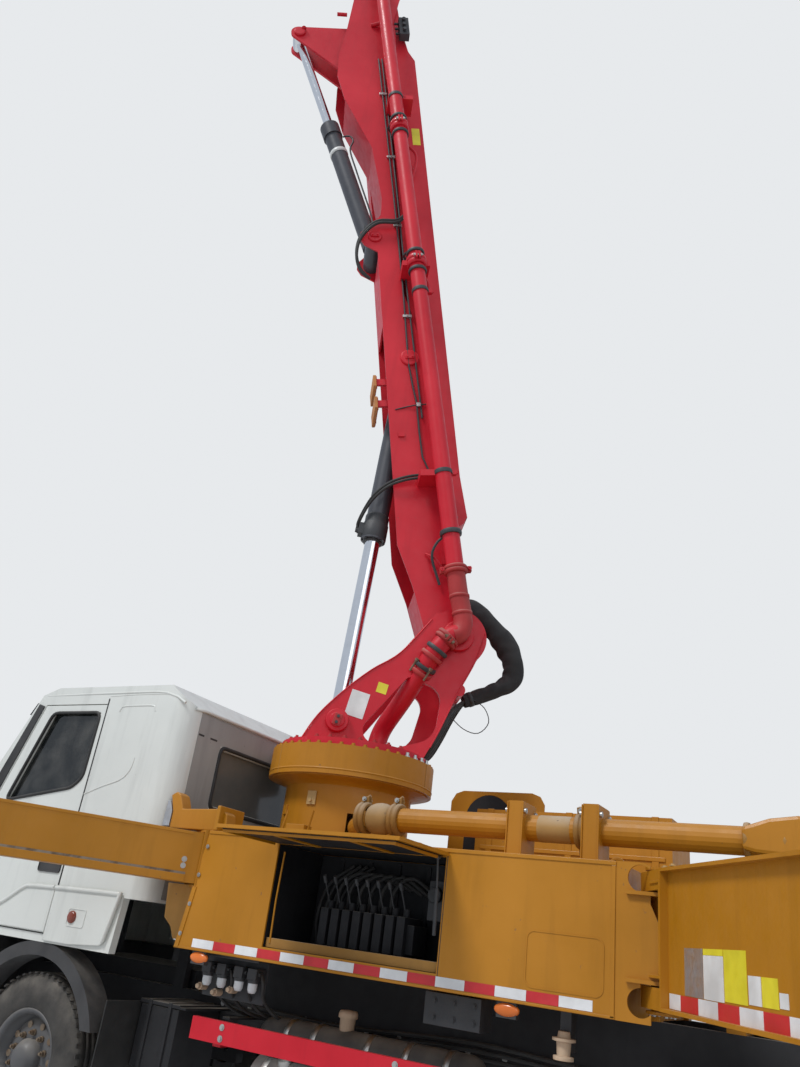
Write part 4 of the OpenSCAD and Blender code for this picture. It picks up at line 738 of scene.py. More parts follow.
for x in (4.1, 5.95):
    straps.tube([pipe_at(x, 0, -0.05, -0.075), pipe_at(x, 0.01, -0.12, -0.1),
                 pipe_at(x, 0.02, -0.19, -0.05)],
                0.014, 8, 0.03)
straps.done("pipe_straps", STRAP, "arm_1", 0.001)
strap_feet.done("strap_feet", RED, "arm_1", 0.002)

# steel lines along the web, the bent ones at the couplings, and the wire strap
lines = Shape(ARM)
lines.tube([(1.5, 0.252, -0.03)] + [(x, ARM_WEB_Y, z) for x, z in (
    (1.78, -0.15), (2.36, -0.16), (2.8, -0.205), (3.8, -0.2), (5.2, -0.22), (7.2, -0.26))], 0.009, 8, 0.2)
lines.tube([(x, ARM_WEB_Y, z) for x, z in ((2.2, -0.12), (3.8, -0.16), (5.2, -0.18), (7.2, -0.22))],
           0.009, 8, 0.25)
lines.done("steel_lines", STRAP, "arm_1")
BENT_LINES = (
    (0.016, 12, ((5.87, 0.42, -0.19), (5.86, 0.3, -0.163), (5.62, 0.3, 0.058), (5.3, 0.29, 0.011),
                 (4.98, 0.28, -0.08), (4.8, 0.25, -0.1))),
    (0.022, 12, ((7.8, 0.25, -0.32), (7.79, 0.3, -0.119), (7.53, 0.3, -0.058), (6.72, 0.29, -0.134),
                 (6.4, 0.25, -0.129))),
    (0.016, 12, ((3.95, 0.42, -0.1), (3.91, 0.32, -0.001), (3.72, 0.3, 0.061), (3.43, 0.27, 0.005),
                 (3.3, 0.25, -0.03))),
    (0.01, 8, ((0.8, 0.26, -0.2), (0.74, 0.3, -0.13), (0.66, 0.3, -0.08), (0.6, 0.26, -0.04))))
bent = Shape(ARM)
for r, n, points in BENT_LINES:
    bent.tube(points, r, n, 0.03)
bent.rod((8.04, 0.2, -0.6), (8.04, 0.2, -0.72), 0.022, 14)
bent.box((2.0, 0.242, -0.36), (2.05, 0.256, -0.3))
bent.box((0.7, 0.242, -0.06), (0.82, 0.256, -0.03))
bent.done("bent_lines", RED, "arm_1")
wire = Shape(ARM)
wire.tube([(2.3, 0.243, -0.37), (2.33, 0.248, -0.26), (2.347, 0.262, -0.146), (2.362, 0.25, -0.05),
           (2.37, 0.3, 0.0)], 0.006, 8, 0.05)
wire.done("line_strap", STRAP, "arm_1")
clips = Shape(ARM)
clips.box((2.325, 0.248, -0.165), (2.365, 0.272, -0.125))
for x, z in ((3.4, -0.18), (4.6, -0.2), (5.6, -0.21), (6.6, -0.24)):
    clips.box((x - 0.015, 0.2405, z - 0.045), (x + 0.015, 0.266, z + 0.045))
    clips.rod((x, 0.262, z), (x, 0.274, z), 0.008, 6)
clips.done("line_clips", STEEL, "arm_1", 0.002)
block = Shape(ARM)
block.box((7.56, 0.241, 0.01), (7.86, 0.34, 0.13))
for x in (7.62, 7.71, 7.8):
    block.rod((x, 0.34, 0.07), (x, 0.375, 0.07), 0.022, 12)
    block.rod((x, 0.29, 0.01), (x, 0.29, -0.04), 0.015, 10)
block.done("boom_valve_block", STRAP, "arm_1", 0.004)
arm2_plate = Shape(ARM)
arm2_plate.box((5.88, 0.1905, 0.065), (6.14, 0.1922, 0.155))
arm2_plate.done("arm_2_plate", SIGN_YELLOW, "arm_2", 0.0006)

# brackets and flat pads on which the folded boom rests
pads, pad_seats = Shape(ARM), Shape(ARM)
for x in (2.4, 2.645):
    pad_seats.box((x - 0.035, 0.168, -0.525), (x + 0.035, 0.2, -0.425))
    pad_seats.box((x - 0.055, -0.14, -0.53), (x + 0.055, 0.22, -0.524))
    pads.box((x - 0.062, -0.145, -0.56), (x + 0.062, 0.225, -0.53))
    for y in (-0.08, 0.16):
        for dx in (-0.04, 0.04):
            pads.rod((x + dx, y, -0.53), (x + dx, y, -0.52), 0.012, 10)
pads.done("boom_rest_pads", PAD_TAN, "arm_1", 0.006)
pad_seats.done("pad_seats", RED, "arm_1", 0.003)

# cylinder heads: gland, port block and the loops of hose that feed it
CYL_1 = ARM @ at(CYL_1_FOOT[0], 0, CYL_1_FOOT[1]) @ turned(-193.307, "Y")
CYL_2_DIR = math.degrees(math.atan2(LEVER_TIP[1] - CYL_2_FOOT[1], LEVER_TIP[0] - CYL_2_FOOT[0]))
CYL_2 = ARM @ at(CYL_2_FOOT[0], 0, CYL_2_FOOT[1]) @ turned(-CYL_2_DIR, "Y")
gland = Shape(CYL_1)
gland.turn([(0.101, 1.66), (0.109, 1.67), (0.109, 1.74), (0.116, 1.75), (0.116, 1.895), (0.108, 1.912),
            (0.07, 1.914)], ORIGIN, ALONG_X, 40)
gland.box((1.765, -0.05, 0.1), (1.875, 0.05, 0.15))
for x, y in ((1.8, -0.025), (1.845, 0.025)):
    gland.rod((x, y, 0.145), (x, y, 0.178), 0.022, 6)
gland.done("cyl_1_gland", STRAP, "cyl_1_barrel", 0.003)
wiper = Shape(CYL_1)
wiper.turn([(0.0685, 1.914), (0.082, 1.915), (0.084, 1.928), (0.0685, 1.93)], ORIGIN, ALONG_X, 32)
wiper.bolts(round_row((1.914, 0, 0), 0.1, 8, "x"), ALONG_X, 0.009, 0.01, False)
wiper.done("cyl_1_wiper", BLACK, "cyl_1_barrel")
gland = Shape(CYL_2)
gland.turn([(0.099, 1.78), (0.1035, 1.785), (0.1035, 1.885), (0.098, 1.9), (0.054, 1.901)], ORIGIN,
           ALONG_X, 36)
gland.box((1.7, -0.13, -0.03), (1.78, -0.1, 0.03))
gland.box((0.16, 0.085, -0.04), (0.26, 0.14, 0.04))
gland.rod((0.21, 0.14, 0.0), (0.21, 0.17, 0.0), 0.02, 6)
gland.done("cyl_2_gland", STRAP, "cyl_2_barrel", 0.002)
tie = Shape(CYL_2)
tie.turn([(0.0985, 1.44), (0.104, 1.442), (0.104, 1.488), (0.0985, 1.49)], ORIGIN, ALONG_X, 30)
tie.done("cyl_2_tie", SIGN_WHITE, "cyl_2_barrel")
line = Shape(CYL_2)
line.tube([(1.74, 0.0, 0.118), (1.72, 0.02, 0.19), (1.6, 0.05, 0.2), (1.45, 0.06, 0.125),
           (1.1, 0.06, 0.112), (0.5, 0.07, 0.1), (0.25, 0.11, 0.06)], 0.01, 8, 0.03)
line.done("cyl_2_line", STRAP, "cyl_2_barrel")

HOSE_PITCH = 0.03
loops = Shape(ARM)
for o in (0.0, HOSE_PITCH):
    loops.tube([(1.53 - o, 0.252, -0.02), (1.56 - o, 0.3, -0.12), (1.55 - o, 0.3, -0.3),
                (1.5 - o, 0.27, -0.48), (1.42 - o, 0.17, -0.62), (1.3 - o * 0.8, 0.08, -0.715),
                (1.2 - o * 0.6, 0.03 - o, -0.765), (1.155 - o * 0.6, 0.02 - o * 1.6, -0.76)], 0.0125, 12,
                0.03)
cyl_1_hoses = loops.done("cyl_1_hoses", RUBBER, None)
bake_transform(cyl_1_hoses)
loops = Shape(ARM)
for o in (0.0, HOSE_PITCH):
    loops.tube([(4.75 - o, 0.252, -0.12), (4.63 - o, 0.3, -0.22), (4.6 - o, 0.305, -0.43),
                (4.43 - o, 0.27, -0.6), (4.22 - o, 0.24, -0.655), (4.05 - o, 0.2, -0.62),
                (3.95, 0.16, -0.52)], 0.016, 12, 0.03)
loops.done("boom_hoses", RUBBER, "arm_1")

# covers of the pins in the first section, each with a keeper bar
PIN_COVERS = (
    (CYL_2_FOOT, 28, ((0.075, -0.01), (0.075, 0.012), (0.068, 0.02), (0.03, 0.02), (0.0, 0.018))),
    (CYL_1_FOOT, 28, ((0.09, -0.01), (0.09, 0.014), (0.082, 0.022), (0.035, 0.022), (0.0, 0.02))),
    (LEVER_FOOT, 32, ((0.11, -0.01), (0.11, 0.016), (0.1, 0.026), (0.05, 0.026), (0.0, 0.022))))
pin_covers, lever_pins = Shape(ARM), Shape(ARM)
for s in (1, -1):
    out_y = (0, s, 0)
    for (x, z), n, profile in PIN_COVERS:
        pin_covers.turn(profile, (x, s * 0.24, z), out_y, n)
        pin_covers.slab(s, (x - 0.02, x + 0.02), (0.258, 0.274), (z - 0.045, z + 0.045))
        pin_covers.bolts([(x, s * 0.274, z - 0.025), (x, s * 0.274, z + 0.025)], out_y, 0.01, 0.01, False)
    x, z = LEVER_TIP
    lever_pins.turn([(0.07, -0.004), (0.07, 0.016), (0.0595, 0.026), (0.0, 0.022)], (x, s * 0.128, z),
                    out_y, 24)
    lever_pins.turn([(0.012, -0.01), (0.03, 0.0), (0.03, 0.008), (0.012, 0.016)],
                    (x + 0.05, s * 0.148, z + 0.05), ALONG_X, 14)
pin_covers.done("arm_pin_covers", RED, "arm_1", 0.002)
lever_pins.done("lever_2_pins", RED, "lever_2", 0.002)
elbow = Shape(ARM)
elbow.tube([(8.2, ARM_PIPE_Y, -0.187), (8.44, ARM_PIPE_Y, -0.19), (8.55, ARM_PIPE_Y - 0.04, -0.2),
            (8.6, 0.33, -0.2)], 0.08, 20, 0.02)
elbow.done("tip_elbow", WORN_RED, "arm_1")

# pipe from the turret up to the boom foot
TURRET_PIPE = [Vector(p) for p in (
    (-0.7, 0.45, 3.905), (-0.62, 0.45, 3.865), (-0.56, 0.44, 3.79), (-0.489, 0.4, 3.675), (-0.33, 0.2,
                                                                                             3.36),
    (-0.2, 0.02, 3.12), (-0.16, 0, 2.95))]
pipe = Shape(SLEW)
pipe.tube(TURRET_PIPE, 0.076, 20, 0.03)
pipe.done("turret_pipe", RED, "turret")
clamps, clamp_bolts, pipe_rings = Shape(SLEW), Shape(SLEW), Shape(SLEW)
ring_clamp(clamps, clamp_bolts, (-0.595, 0.447, 3.835), (0.1, -0.03, -0.13), (-0.3, 1, 0), 0.036)
for first, share, shape in ((2, 0.45, pipe_rings), (2, 0.95, clamps), (3, 0.22, pipe_rings),
                            (3, 0.36, clamps)):
    p, q = TURRET_PIPE[first], TURRET_PIPE[first + 1]
    shape.turn(bead(0.096, 0.1, 0.017), p.lerp(q, share), q - p, 32)
p, q = TURRET_PIPE[3], TURRET_PIPE[4]
c, d = p.lerp(q, 0.3), (q - p).normalized()
for k in range(4):
    e = c + (Matrix.Rotation(math.radians(20 + 90 * k), 3, d) @ d.orthogonal().normalized()) * 0.098
    clamp_bolts.rod(e - d * 0.055, e + d * 0.055, 0.01, 8)
    clamp_bolts.rod(e - d * 0.062, e - d * 0.042, 0.018, 6)
clamps.done("turret_pipe_clamps", WORN_RED, "turret", 0.002)
clamp_bolts.done("turret_clamp_bolts", RUSTY, "turret")
pipe_rings.done("turret_pipe_rings", STRAP, "turret", 0.001)
foot_pipe = Shape(ARM)
foot_pipe.tube([(x, ARM_PIPE_Y, z) for x, z in (
    (0.54, 0.016), (0.36, 0.022), (0.2, 0.034), (0.08, 0.034), (0.0, 0.0), (-0.02, -0.06))], 0.08, 20, 0.03)
for x, z, rise in ((0.3, 0.025, 0.04), (0.15, 0.035, 0.0)):
    foot_pipe.turn([(0.078, 0.0), (0.086, 0.004), (0.086, 0.03), (0.078, 0.034)], (x, ARM_PIPE_Y, z),
                   (1, 0, rise), 28)
foot = foot_pipe.done("boom_pipe_foot", WORN_RED, None)
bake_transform(foot)

# fabric sleeve that holds the hoses between the boom foot and the turret
SLEEVE = [((-0.79, 4.315), 0.08), ((-0.9, 4.268), 0.086), ((-1.127, 4.07), 0.092),
          ((-1.225, 3.93), 0.097), ((-1.268, 3.79), 0.098), ((-1.235, 3.68), 0.092),
          ((-1.13, 3.6), 0.078), ((-0.995, 3.525), 0.07), ((-0.9, 3.48), 0.055),
          ((-0.85, 3.458), 0.06)]
SLEEVE_SIDES = 40


def fabric_sleeve(n=SLEEVE_SIDES):
    """The sleeve's skin, with folds that are deepest on the inside of the bend."""
    centre = smooth_line([Vector((x, 0, z)) for (x, z), r in SLEEVE], 0.018)
    radii = [r for place, r in SLEEVE]
    across = Vector((0, 1, 0))
    vs, fs = [], []
    for i, c in enumerate(centre):
        f = i / (len(centre) - 1) * (len(radii) - 1)
        k = min(int(f), len(radii) - 2)
        r = radii[k] + (radii[k + 1] - radii[k]) * (f - k)
        d = (centre[min(i + 1, len(centre) - 1)] - centre[max(i - 1, 0)]).normalized()
        e = d.cross(across).normalized()
        for a in range(n):
            w = 2 * math.pi * a / n
            depth = 0.25 + max(0.0, math.cos(w))
            ripple = 0.0045 * math.sin(i * 0.95 + 1.6 * math.sin(w * 2)) * depth
            fold = ripple + 0.006 * math.sin(i * 0.33 + 2 * w)
            vs.append(c + e * (r + fold) * math.cos(w) + across * (r + fold) * math.sin(w))
    for i in range(len(centre) - 1):
        fs += [(i * n + a, i * n + (a + 1) % n, (i + 1) * n + (a + 1) % n, (i + 1) * n + a) for a in range(n)]
    sleeve = Shape(SLEW)
    sleeve.add(vs, fs, True)
    last = len(vs) - n
    return sleeve.add(vs, [tuple(range(n)), tuple(range(last + n - 1, last - 1, -1))])


sleeve_o = fabric_sleeve().done("boom_hose_sleeve", FABRIC, None, replaces=("hose_sleeve",))
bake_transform(sleeve_o)
tie = Shape(SLEW)
tie.turn([(0.055, -0.018), (0.064, -0.016), (0.064, 0.016), (0.055, 0.018)], (-0.905, 0, 3.482),
         (0.9, 0, -0.45), 24)
tie.done("sleeve_tie", STRAP, "turret")
cleat = Shape(ARM)
cleat.box((0.33, -0.115, 0.148), (0.47, 0.115, 0.16))
for y in (-0.1, 0.1):
    cleat.bolts([(0.36, y, 0.16), (0.44, y, 0.16)], UP, 0.01, 0.012)
cleat.done("sleeve_cleat_plate", WORN_RED, "arm_1", 0.002)
hoses = Shape(SLEW)
for k in range(4):
    y = -0.036 + 0.024 * k
    hoses.tube([(-0.9, y * 0.8, 3.485), (-0.845 + 0.02 * k, y * 1.5, 3.43 - 0.015 * k),
                (-0.785 + 0.018 * k, y * 3.5, 3.31), (-0.715 + 0.022 * k, y * 6, 3.13),
                (-0.64 + 0.02 * k, y * 6.5, 2.99), (-0.53, y * 5, 2.9)], 0.017, 10, 0.03)
hoses.done("turret_hoses", RUBBER, "turret")
wire = Shape(SLEW)
wire.tube([(-0.93, 0.05, 3.47), (-1.02, 0.1, 3.4), (-1.06, 0.12, 3.28), (-0.98, 0.12, 3.18),
           (-0.86, 0.1, 3.2), (-0.74, 0.06, 3.3)], 0.004, 6, 0.03)
wire.done("turret_wire", STRAP, "turret")

# side bay: lining and valve bank in near-black painted shade, levers and hoses, gauges
BAY_Y0, BAY_Y1 = -1.236, -0.72
SECTIONS, SECTION_PITCH, SECTION_X = 8, 0.078, -2.24
# the bay's lining and valve bank are near-black: painted shade in the recess
bay = Shape()
bay.box((BAY_X0 + 0.004, -0.735, BAY_Z0 + 0.002), (BAY_X1 - 0.004, -0.705, BAY_Z1 - 0.002))
bay.box((BAY_X0 - 0.012, BAY_Y0, BAY_Z0), (BAY_X0 - 0.002, BAY_Y1, BAY_Z1))
bay.box((BAY_X1 + 0.002, BAY_Y0, BAY_Z0), (BAY_X1 + 0.012, BAY_Y1, BAY_Z1))
bay.box((BAY_X0, BAY_Y0, BAY_Z1 + 0.002), (BAY_X1, BAY_Y1, BAY_Z1 + 0.01))
bay.box((BAY_X0, BAY_Y0, BAY_Z0 - 0.012), (BAY_X1, BAY_Y1, BAY_Z0 - 0.002))
bay.box((BAY_X0 + 0.08, -1.12, BAY_Z0 - 0.005), (BAY_X1 - 0.06, -0.8, BAY_Z0 + 0.05))
for k in range(5):
    x = BAY_X0 + 0.16 + 0.22 * k
    bay.box((x, -0.745, BAY_Z0 + 0.02), (x + 0.03, -0.734, BAY_Z1 - 0.02))
bay.done("bay_lining", PAINTED_SHADE_BLACK, bevel=0.003)
valves, levers, hoses = Shape(), Shape(), Shape()
valves.box((-2.28, -1.03, 1.5), (-1.62, -0.86, 1.66))
for k in range(SECTIONS):
    x = SECTION_X + SECTION_PITCH * k
    valves.box((x - 0.028, -1.07, 1.49), (x + 0.028, -0.84, 1.7))
    valves.rod((x, -1.0, 1.7), (x, -1.0, 1.745), 0.022, 14)
    valves.rod((x, -0.95, 1.44), (x, -0.95, 1.5), 0.02, 14)
    levers.rod((x, -1.03, 1.74), (x, -1.11, 1.86), 0.005, 8)
    levers.rod((x, -1.1, 1.845), (x, -1.125, 1.883), 0.012, 12)
    if k < SECTIONS - 2:
        hoses.tube([(x, -0.93, 1.7), (x + 0.01, -0.92, 1.84), (x + 0.1, -0.86, 1.93),
                    (x + 0.3, -0.8, 1.9 - 0.02 * k)], 0.013, 8, 0.04)
for k in range(4):
    x = -2.44 + 0.05 * k
    hoses.tube([(x, -0.8, 1.47), (x, -0.84, 1.65), (x + 0.05, -0.82, 1.85), (x + 0.2, -0.78, 1.98)], 0.012,
               8, 0.04)
valves.done("valve_bank", PAINTED_SHADE_BLACK, bevel=0.003)
levers.done("valve_levers", STRAP)
hoses.done("bay_hoses", RUBBER)
gauges = Shape()
for x in (-1.52, -1.42):
    gauges.turn([(0.0, 0.0), (0.042, 0.0), (0.045, 0.006), (0.045, 0.03), (0.04, 0.035), (0.0, 0.035)],
                (x, -0.98, 1.84), (0, -1, 0), 28)
gauges.box((-1.57, -0.98, 1.7), (-1.38, -0.9, 1.92))
gauges.done("bay_gauges", STRAP, bevel=0.002)

# open lid: stiffeners, a near-black sheet of painted shade under it, stay and gas strut
LID_Z = 2.04
stiffeners = Shape()
for x in (BAY_X0 + 0.014, BAY_X1 - 0.03):
    stiffeners.box((x, -1.828, LID_Z - 0.022), (x + 0.016, -1.33, LID_Z))
stiffeners.box((BAY_X0 + 0.014, -1.84, LID_Z - 0.022), (BAY_X1 - 0.014, -1.828, LID_Z))
for x in (-2.2, -1.68):
    stiffeners.box((x - 0.02, -1.835, LID_Z - 0.015), (x + 0.02, -1.3, LID_Z))
stiffeners.done("lid_stiffeners", YELLOW, "side_lid", 0.002)
shade_sheet, stay, strut = Shape(), Shape(), Shape()
# near-black sheet under the lid: painted shade on its underside
shade_sheet.box((BAY_X0 + 0.01, -1.842, LID_Z - 0.007), (BAY_X1 - 0.01, -1.275, LID_Z - 0.002))
shade_sheet.done("lid_shade_sheet", PAINTED_SHADE_BLACK, "side_lid")
x = BAY_X0 + 0.035
stay.rod((x, -1.222, 1.46), (x - 0.004, -1.226, 1.7), 0.006, 12)
stay.rod((x - 0.004, -1.226, 1.7), (x, -1.222, 1.99), 0.006, 12)
stay.done("lid_stay", YELLOW)
x = BAY_X1 - 0.03
strut.rod((x, -1.3, 2.026), (x, -1.275, 1.86), 0.006, 12)
strut.rod((x, -1.275, 1.86), (x, -1.258, 1.62), 0.011, 14)
strut.rod((x - 0.012, -1.3, 2.026), (x + 0.012, -1.3, 2.026), 0.01, 12)
lid_strut = strut.done("lid_struts", STRAP, None)
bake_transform(lid_strut)

# side boxes: door line, seams, welded edges and their bolts
door_line, seams, edges, edge_bolts = Shape(), Shape(), Shape(), Shape()
for s in (-1, 1):
    rounded_frame(door_line, -0.835, -0.416, 1.436, 1.71, 0.045, 0.007, s * BOX_Y, 0.003, s)
door_line.done("panel_door_line", YELLOW)
for x in (-1.335, -0.375):
    seams.box((x - 0.002, -BOX_Y - 0.0008, BOX_Z0 + 0.01), (x + 0.002, -BOX_Y + 0.001, DECK_Z - 0.01))
seams.done("panel_seams", BLACK)


def front_edge_x(z):
    """The boxes' front edge leans back towards the deck."""
    return BOX_X0 - 0.105 + 0.107 * (z - BOX_Z0) / (DECK_Z - BOX_Z0)


for s in (-1, 1):
    y = (BOX_Y - 0.002, BOX_Y + 0.006)
    for z0, z1 in ((BOX_Z0 + 0.004, 1.725), (2.078, DECK_Z - 0.004)):
        x0, x1 = front_edge_x(z0), front_edge_x(z1)
        edges.prism([(x0, z0), (x0 + 0.034, z0), (x1 + 0.034, z1), (x1, z1)], *span(s, *y))
    edges.slab(s, (BOX_X0, BOX_X1), y, (DECK_Z - 0.022, DECK_Z - 0.002))
    edges.slab(s, (BOX_X1 - 0.022, BOX_X1 - 0.002), y, (BOX_Z0 + 0.005, DECK_Z - 0.024))
    edges.slab(s, (BOX_X0 - 0.068, BOX_X1), y, (BOX_Z0 + 0.002, BOX_Z0 + 0.014))
    for k in range(4):
        z = 1.44 + 0.18 * k
        edge_bolts.bolts([(BOX_X0 - 0.085 + (z - BOX_Z0) * 0.15, s * (BOX_Y + 0.006), z)], (0, s, 0),
                         0.009, 0.007)
edges.done("box_edges", YELLOW, bevel=0.002)
edge_bolts.done("box_edge_bolts", STEEL)

# deck pipe: clamps, worn stretch, rings and the elbow's housing
PIPE_POST_XS = (-1.05, -0.59)


def deck_pipe_at(x):
    return (x, DECK_PIPE_Y, DECK_PIPE_Z)


clamps, clamp_bolts, pipe_rings, worn = Shape(), Shape(), Shape(), Shape()
for x in (-2.16, -1.91):
    ring_clamp(clamps, clamp_bolts, deck_pipe_at(x), ALONG_X, UP, 0.036)
    y = DECK_PIPE_Y - 0.01
    clamps.rod((x - 0.03, y, DECK_PIPE_Z + 0.1), (x + 0.03, y, DECK_PIPE_Z + 0.145), 0.01, 10)
ring_clamp(clamps, clamp_bolts, deck_pipe_at(-0.66), ALONG_X, (0, -0.3, 1), 0.036)
clamps.done("deck_pipe_clamps", WORN_AND_SHADED_YELLOW, bevel=0.002)
clamp_bolts.done("deck_clamp_bolts", STEEL)
worn.turn([(0.0764, -0.1), (0.0772, -0.09), (0.0772, 0.09), (0.0764, 0.1)], deck_pipe_at(-0.825), ALONG_X,
          36)
BARREL_HALF = [(0.0772, -0.078), (0.088, -0.064), (0.098, -0.036)]
worn.turn(BARREL_HALF + [(0.102, 0.0)] + [(r, -h) for r, h in reversed(BARREL_HALF)],
          deck_pipe_at(-2.035), ALONG_X, 36)
worn.done("deck_pipe_worn", WORN_CREAM)
for x in (0.24, 0.43):
    pipe_rings.turn(bead(0.094, 0.097, 0.014, 0.0772), deck_pipe_at(x), ALONG_X, 32)
pipe_rings.done("deck_pipe_rings", WORN_AND_SHADED_YELLOW)
house = Shape()
house.prism([(0.5, 2.405), (0.62, 2.395), (0.66, 2.34), (0.66, 2.205), (0.44, 2.197), (0.29, 2.205),
             (0.22, 2.22), (0.22, 2.335), (0.36, 2.385)], -0.965, -0.775)
house.done("deck_pipe_elbow_housing", YELLOW, bevel=0.02)
posts, post_bolts = Shape(), Shape()
for x in PIPE_POST_XS:
    for dx in (-0.052, 0.045):
        posts.box((x + dx, -0.985, 2.105), (x + dx + 0.007, -0.765, 2.41))
    posts.box((x - 0.055, -0.99, DECK_Z + 0.0005), (x + 0.055, -0.74, DECK_Z + 0.016))
    for y in (-0.96, -0.79):
        for x0, x1, r, n in ((-0.068, 0.068, 0.009, 8), (-0.066, -0.052, 0.017, 6), (0.052, 0.066, 0.017, 6)):
            post_bolts.rod((x + x0, y, 2.36), (x + x1, y, 2.36), r, n)
posts.done("pipe_posts", YELLOW, bevel=0.002)
post_bolts.done("pipe_post_bolts", STEEL)

# deck: prongs, far side arch and tank straps
prongs = Shape()
for s in (-1, 1):
    prongs.slab(s, (-2.59, -2.446), (1.055, 1.145), (DECK_Z, 2.175))
    prongs.slab(s, (-2.6, -2.436), (1.045, 1.155), (DECK_Z, 2.099))
    prongs.rod((-2.647, s * 1.12, 2.085), (-2.611, s * 1.12, 2.26), 0.008, 10)
    prongs.rod((-2.44, s * 1.12, 2.085), (-2.406, s * 1.12, 2.27), 0.008, 10)
prongs.done("deck_prongs", YELLOW, bevel=0.004)
ARCH_X, ARCH_Z, ARCH_R, ARCH_RISE = -2.0375, 2.56, 0.2075, 0.2
arch_rim = [(ARCH_X + ARCH_R * math.cos(math.pi * k / 16), ARCH_Z + ARCH_RISE * math.sin(math.pi * k / 16))
            for k in range(17)]
arch, arch_shade = Shape(), Shape()
arch.prism([(-2.39, 2.087), (-2.39, 2.7), (-2.35, 2.765), (-2.28, 2.79), (-1.66, 2.79), (-1.59, 2.765),
            (-1.55, 2.7), (-1.55, 2.61), (-1.8, 2.61)] + arch_rim + [(-2.245, 2.087)], 0.885, 0.9)
arch.done("far_side_arch", YELLOW, bevel=0.003)
# near-black sheet in the arch's opening and a patch beside it: painted shade
arch_shade.prism([(-2.245, 2.087), (-1.8, 2.087), (-1.8, 2.61)] + arch_rim, 0.886, 0.894)
arch_shade.prism([(-2.6, 2.087), (-2.6, 2.3), (-2.38, 2.3), (-2.38, 2.087)], 0.886, 0.894)
arch_shade.done("far_side_arch_shade", PAINTED_SHADE_BLACK)
tank_straps = Shape()
for x in (-1.9, -1.25, -0.6):
    tank_straps.box((x - 0.025, 0.6125, 2.09), (x + 0.025, 1.2275, 2.6095))
tank_straps.turn([(0.0, 0.04), (0.05, 0.04), (0.06, 0.03), (0.06, 0.0)], (-1.58, 0.92, 2.605), UP, 28)
tank_straps.box((-1.97, 0.61, 2.3), (-0.53, 0.62, 2.33))
tank_straps.done("far_tank_straps", YELLOW, bevel=0.003)

# cab sides: door seals, handles and pulls, pressings, fenders and steps
seal = Shape()
REAR_WINDOW = ((-0.79, 2.29), (0.79, 2.29), (0.79, 2.75), (-0.79, 2.75))
ring_line(seal, [(CAB_REAR + 0.002, y, z) for y, z in REAR_WINDOW], 0.016)
seal.done("rear_window_seal", RUBBER)
DOOR_WINDOW = ((DOOR_X0 + 0.14, 2.2), (DOOR_X1 - 0.15, 2.32), (DOOR_X1 - 0.055, 2.4),
               (DOOR_X1 - 0.05, CAB_TOP - 0.21), (-5.06, CAB_TOP - 0.21))
PRESSINGS = (
    (0.007, 0.02, ((-4.305, 2.915), (-4.292, 2.945), (-4.245, 2.957), (-3.98, 2.96), (-3.94, 2.945),
                   (-3.925, 2.915))),
    (0.007, 0.03, ((-4.457, 2.276), (-4.289, 2.339), (-4.12, 2.392), (-4.055, 2.44), (-4.027, 2.496),
                   (-4.02, 2.56))),
    (0.005, 0.05, ((-4.447, 3.04), (-4.1, 3.05), (-3.78, 3.045))))
SCREEN_PILLAR = [(-5.6, 2.165), (-5.488, 2.165), (-5.192, 2.965), (-5.262, 2.985)]
FENDER_REAR = [(-4.458, 1.345), (-4.458, 1.6115), (-3.835, 1.623), (-3.808, 1.615), (-3.8, 1.595),
               (-3.874, 1.3), (-3.9, 1.286), (-4.2, 1.262), (-4.458, 1.262)]
FENDER_FRONT = [(-4.463, 1.315), (-4.463, 1.6115), (-4.716, 1.605), (-4.8, 1.585), (-5.018, 1.455),
                (-5.3, 1.36), (-5.44, 1.315)]
SKIN_Y, FENDER_Y = HALF_W + 0.0005, HALF_W + 0.02


def side_prism(name, s, outline, y1, mat, body="chassis", bevel=0.0):
    """A flat form on the cab's skin on side s, out to y1."""
    shape = Shape()
    shape.prism(outline, *span(s, SKIN_Y, y1))
    shape.done(name, mat, body, bevel)


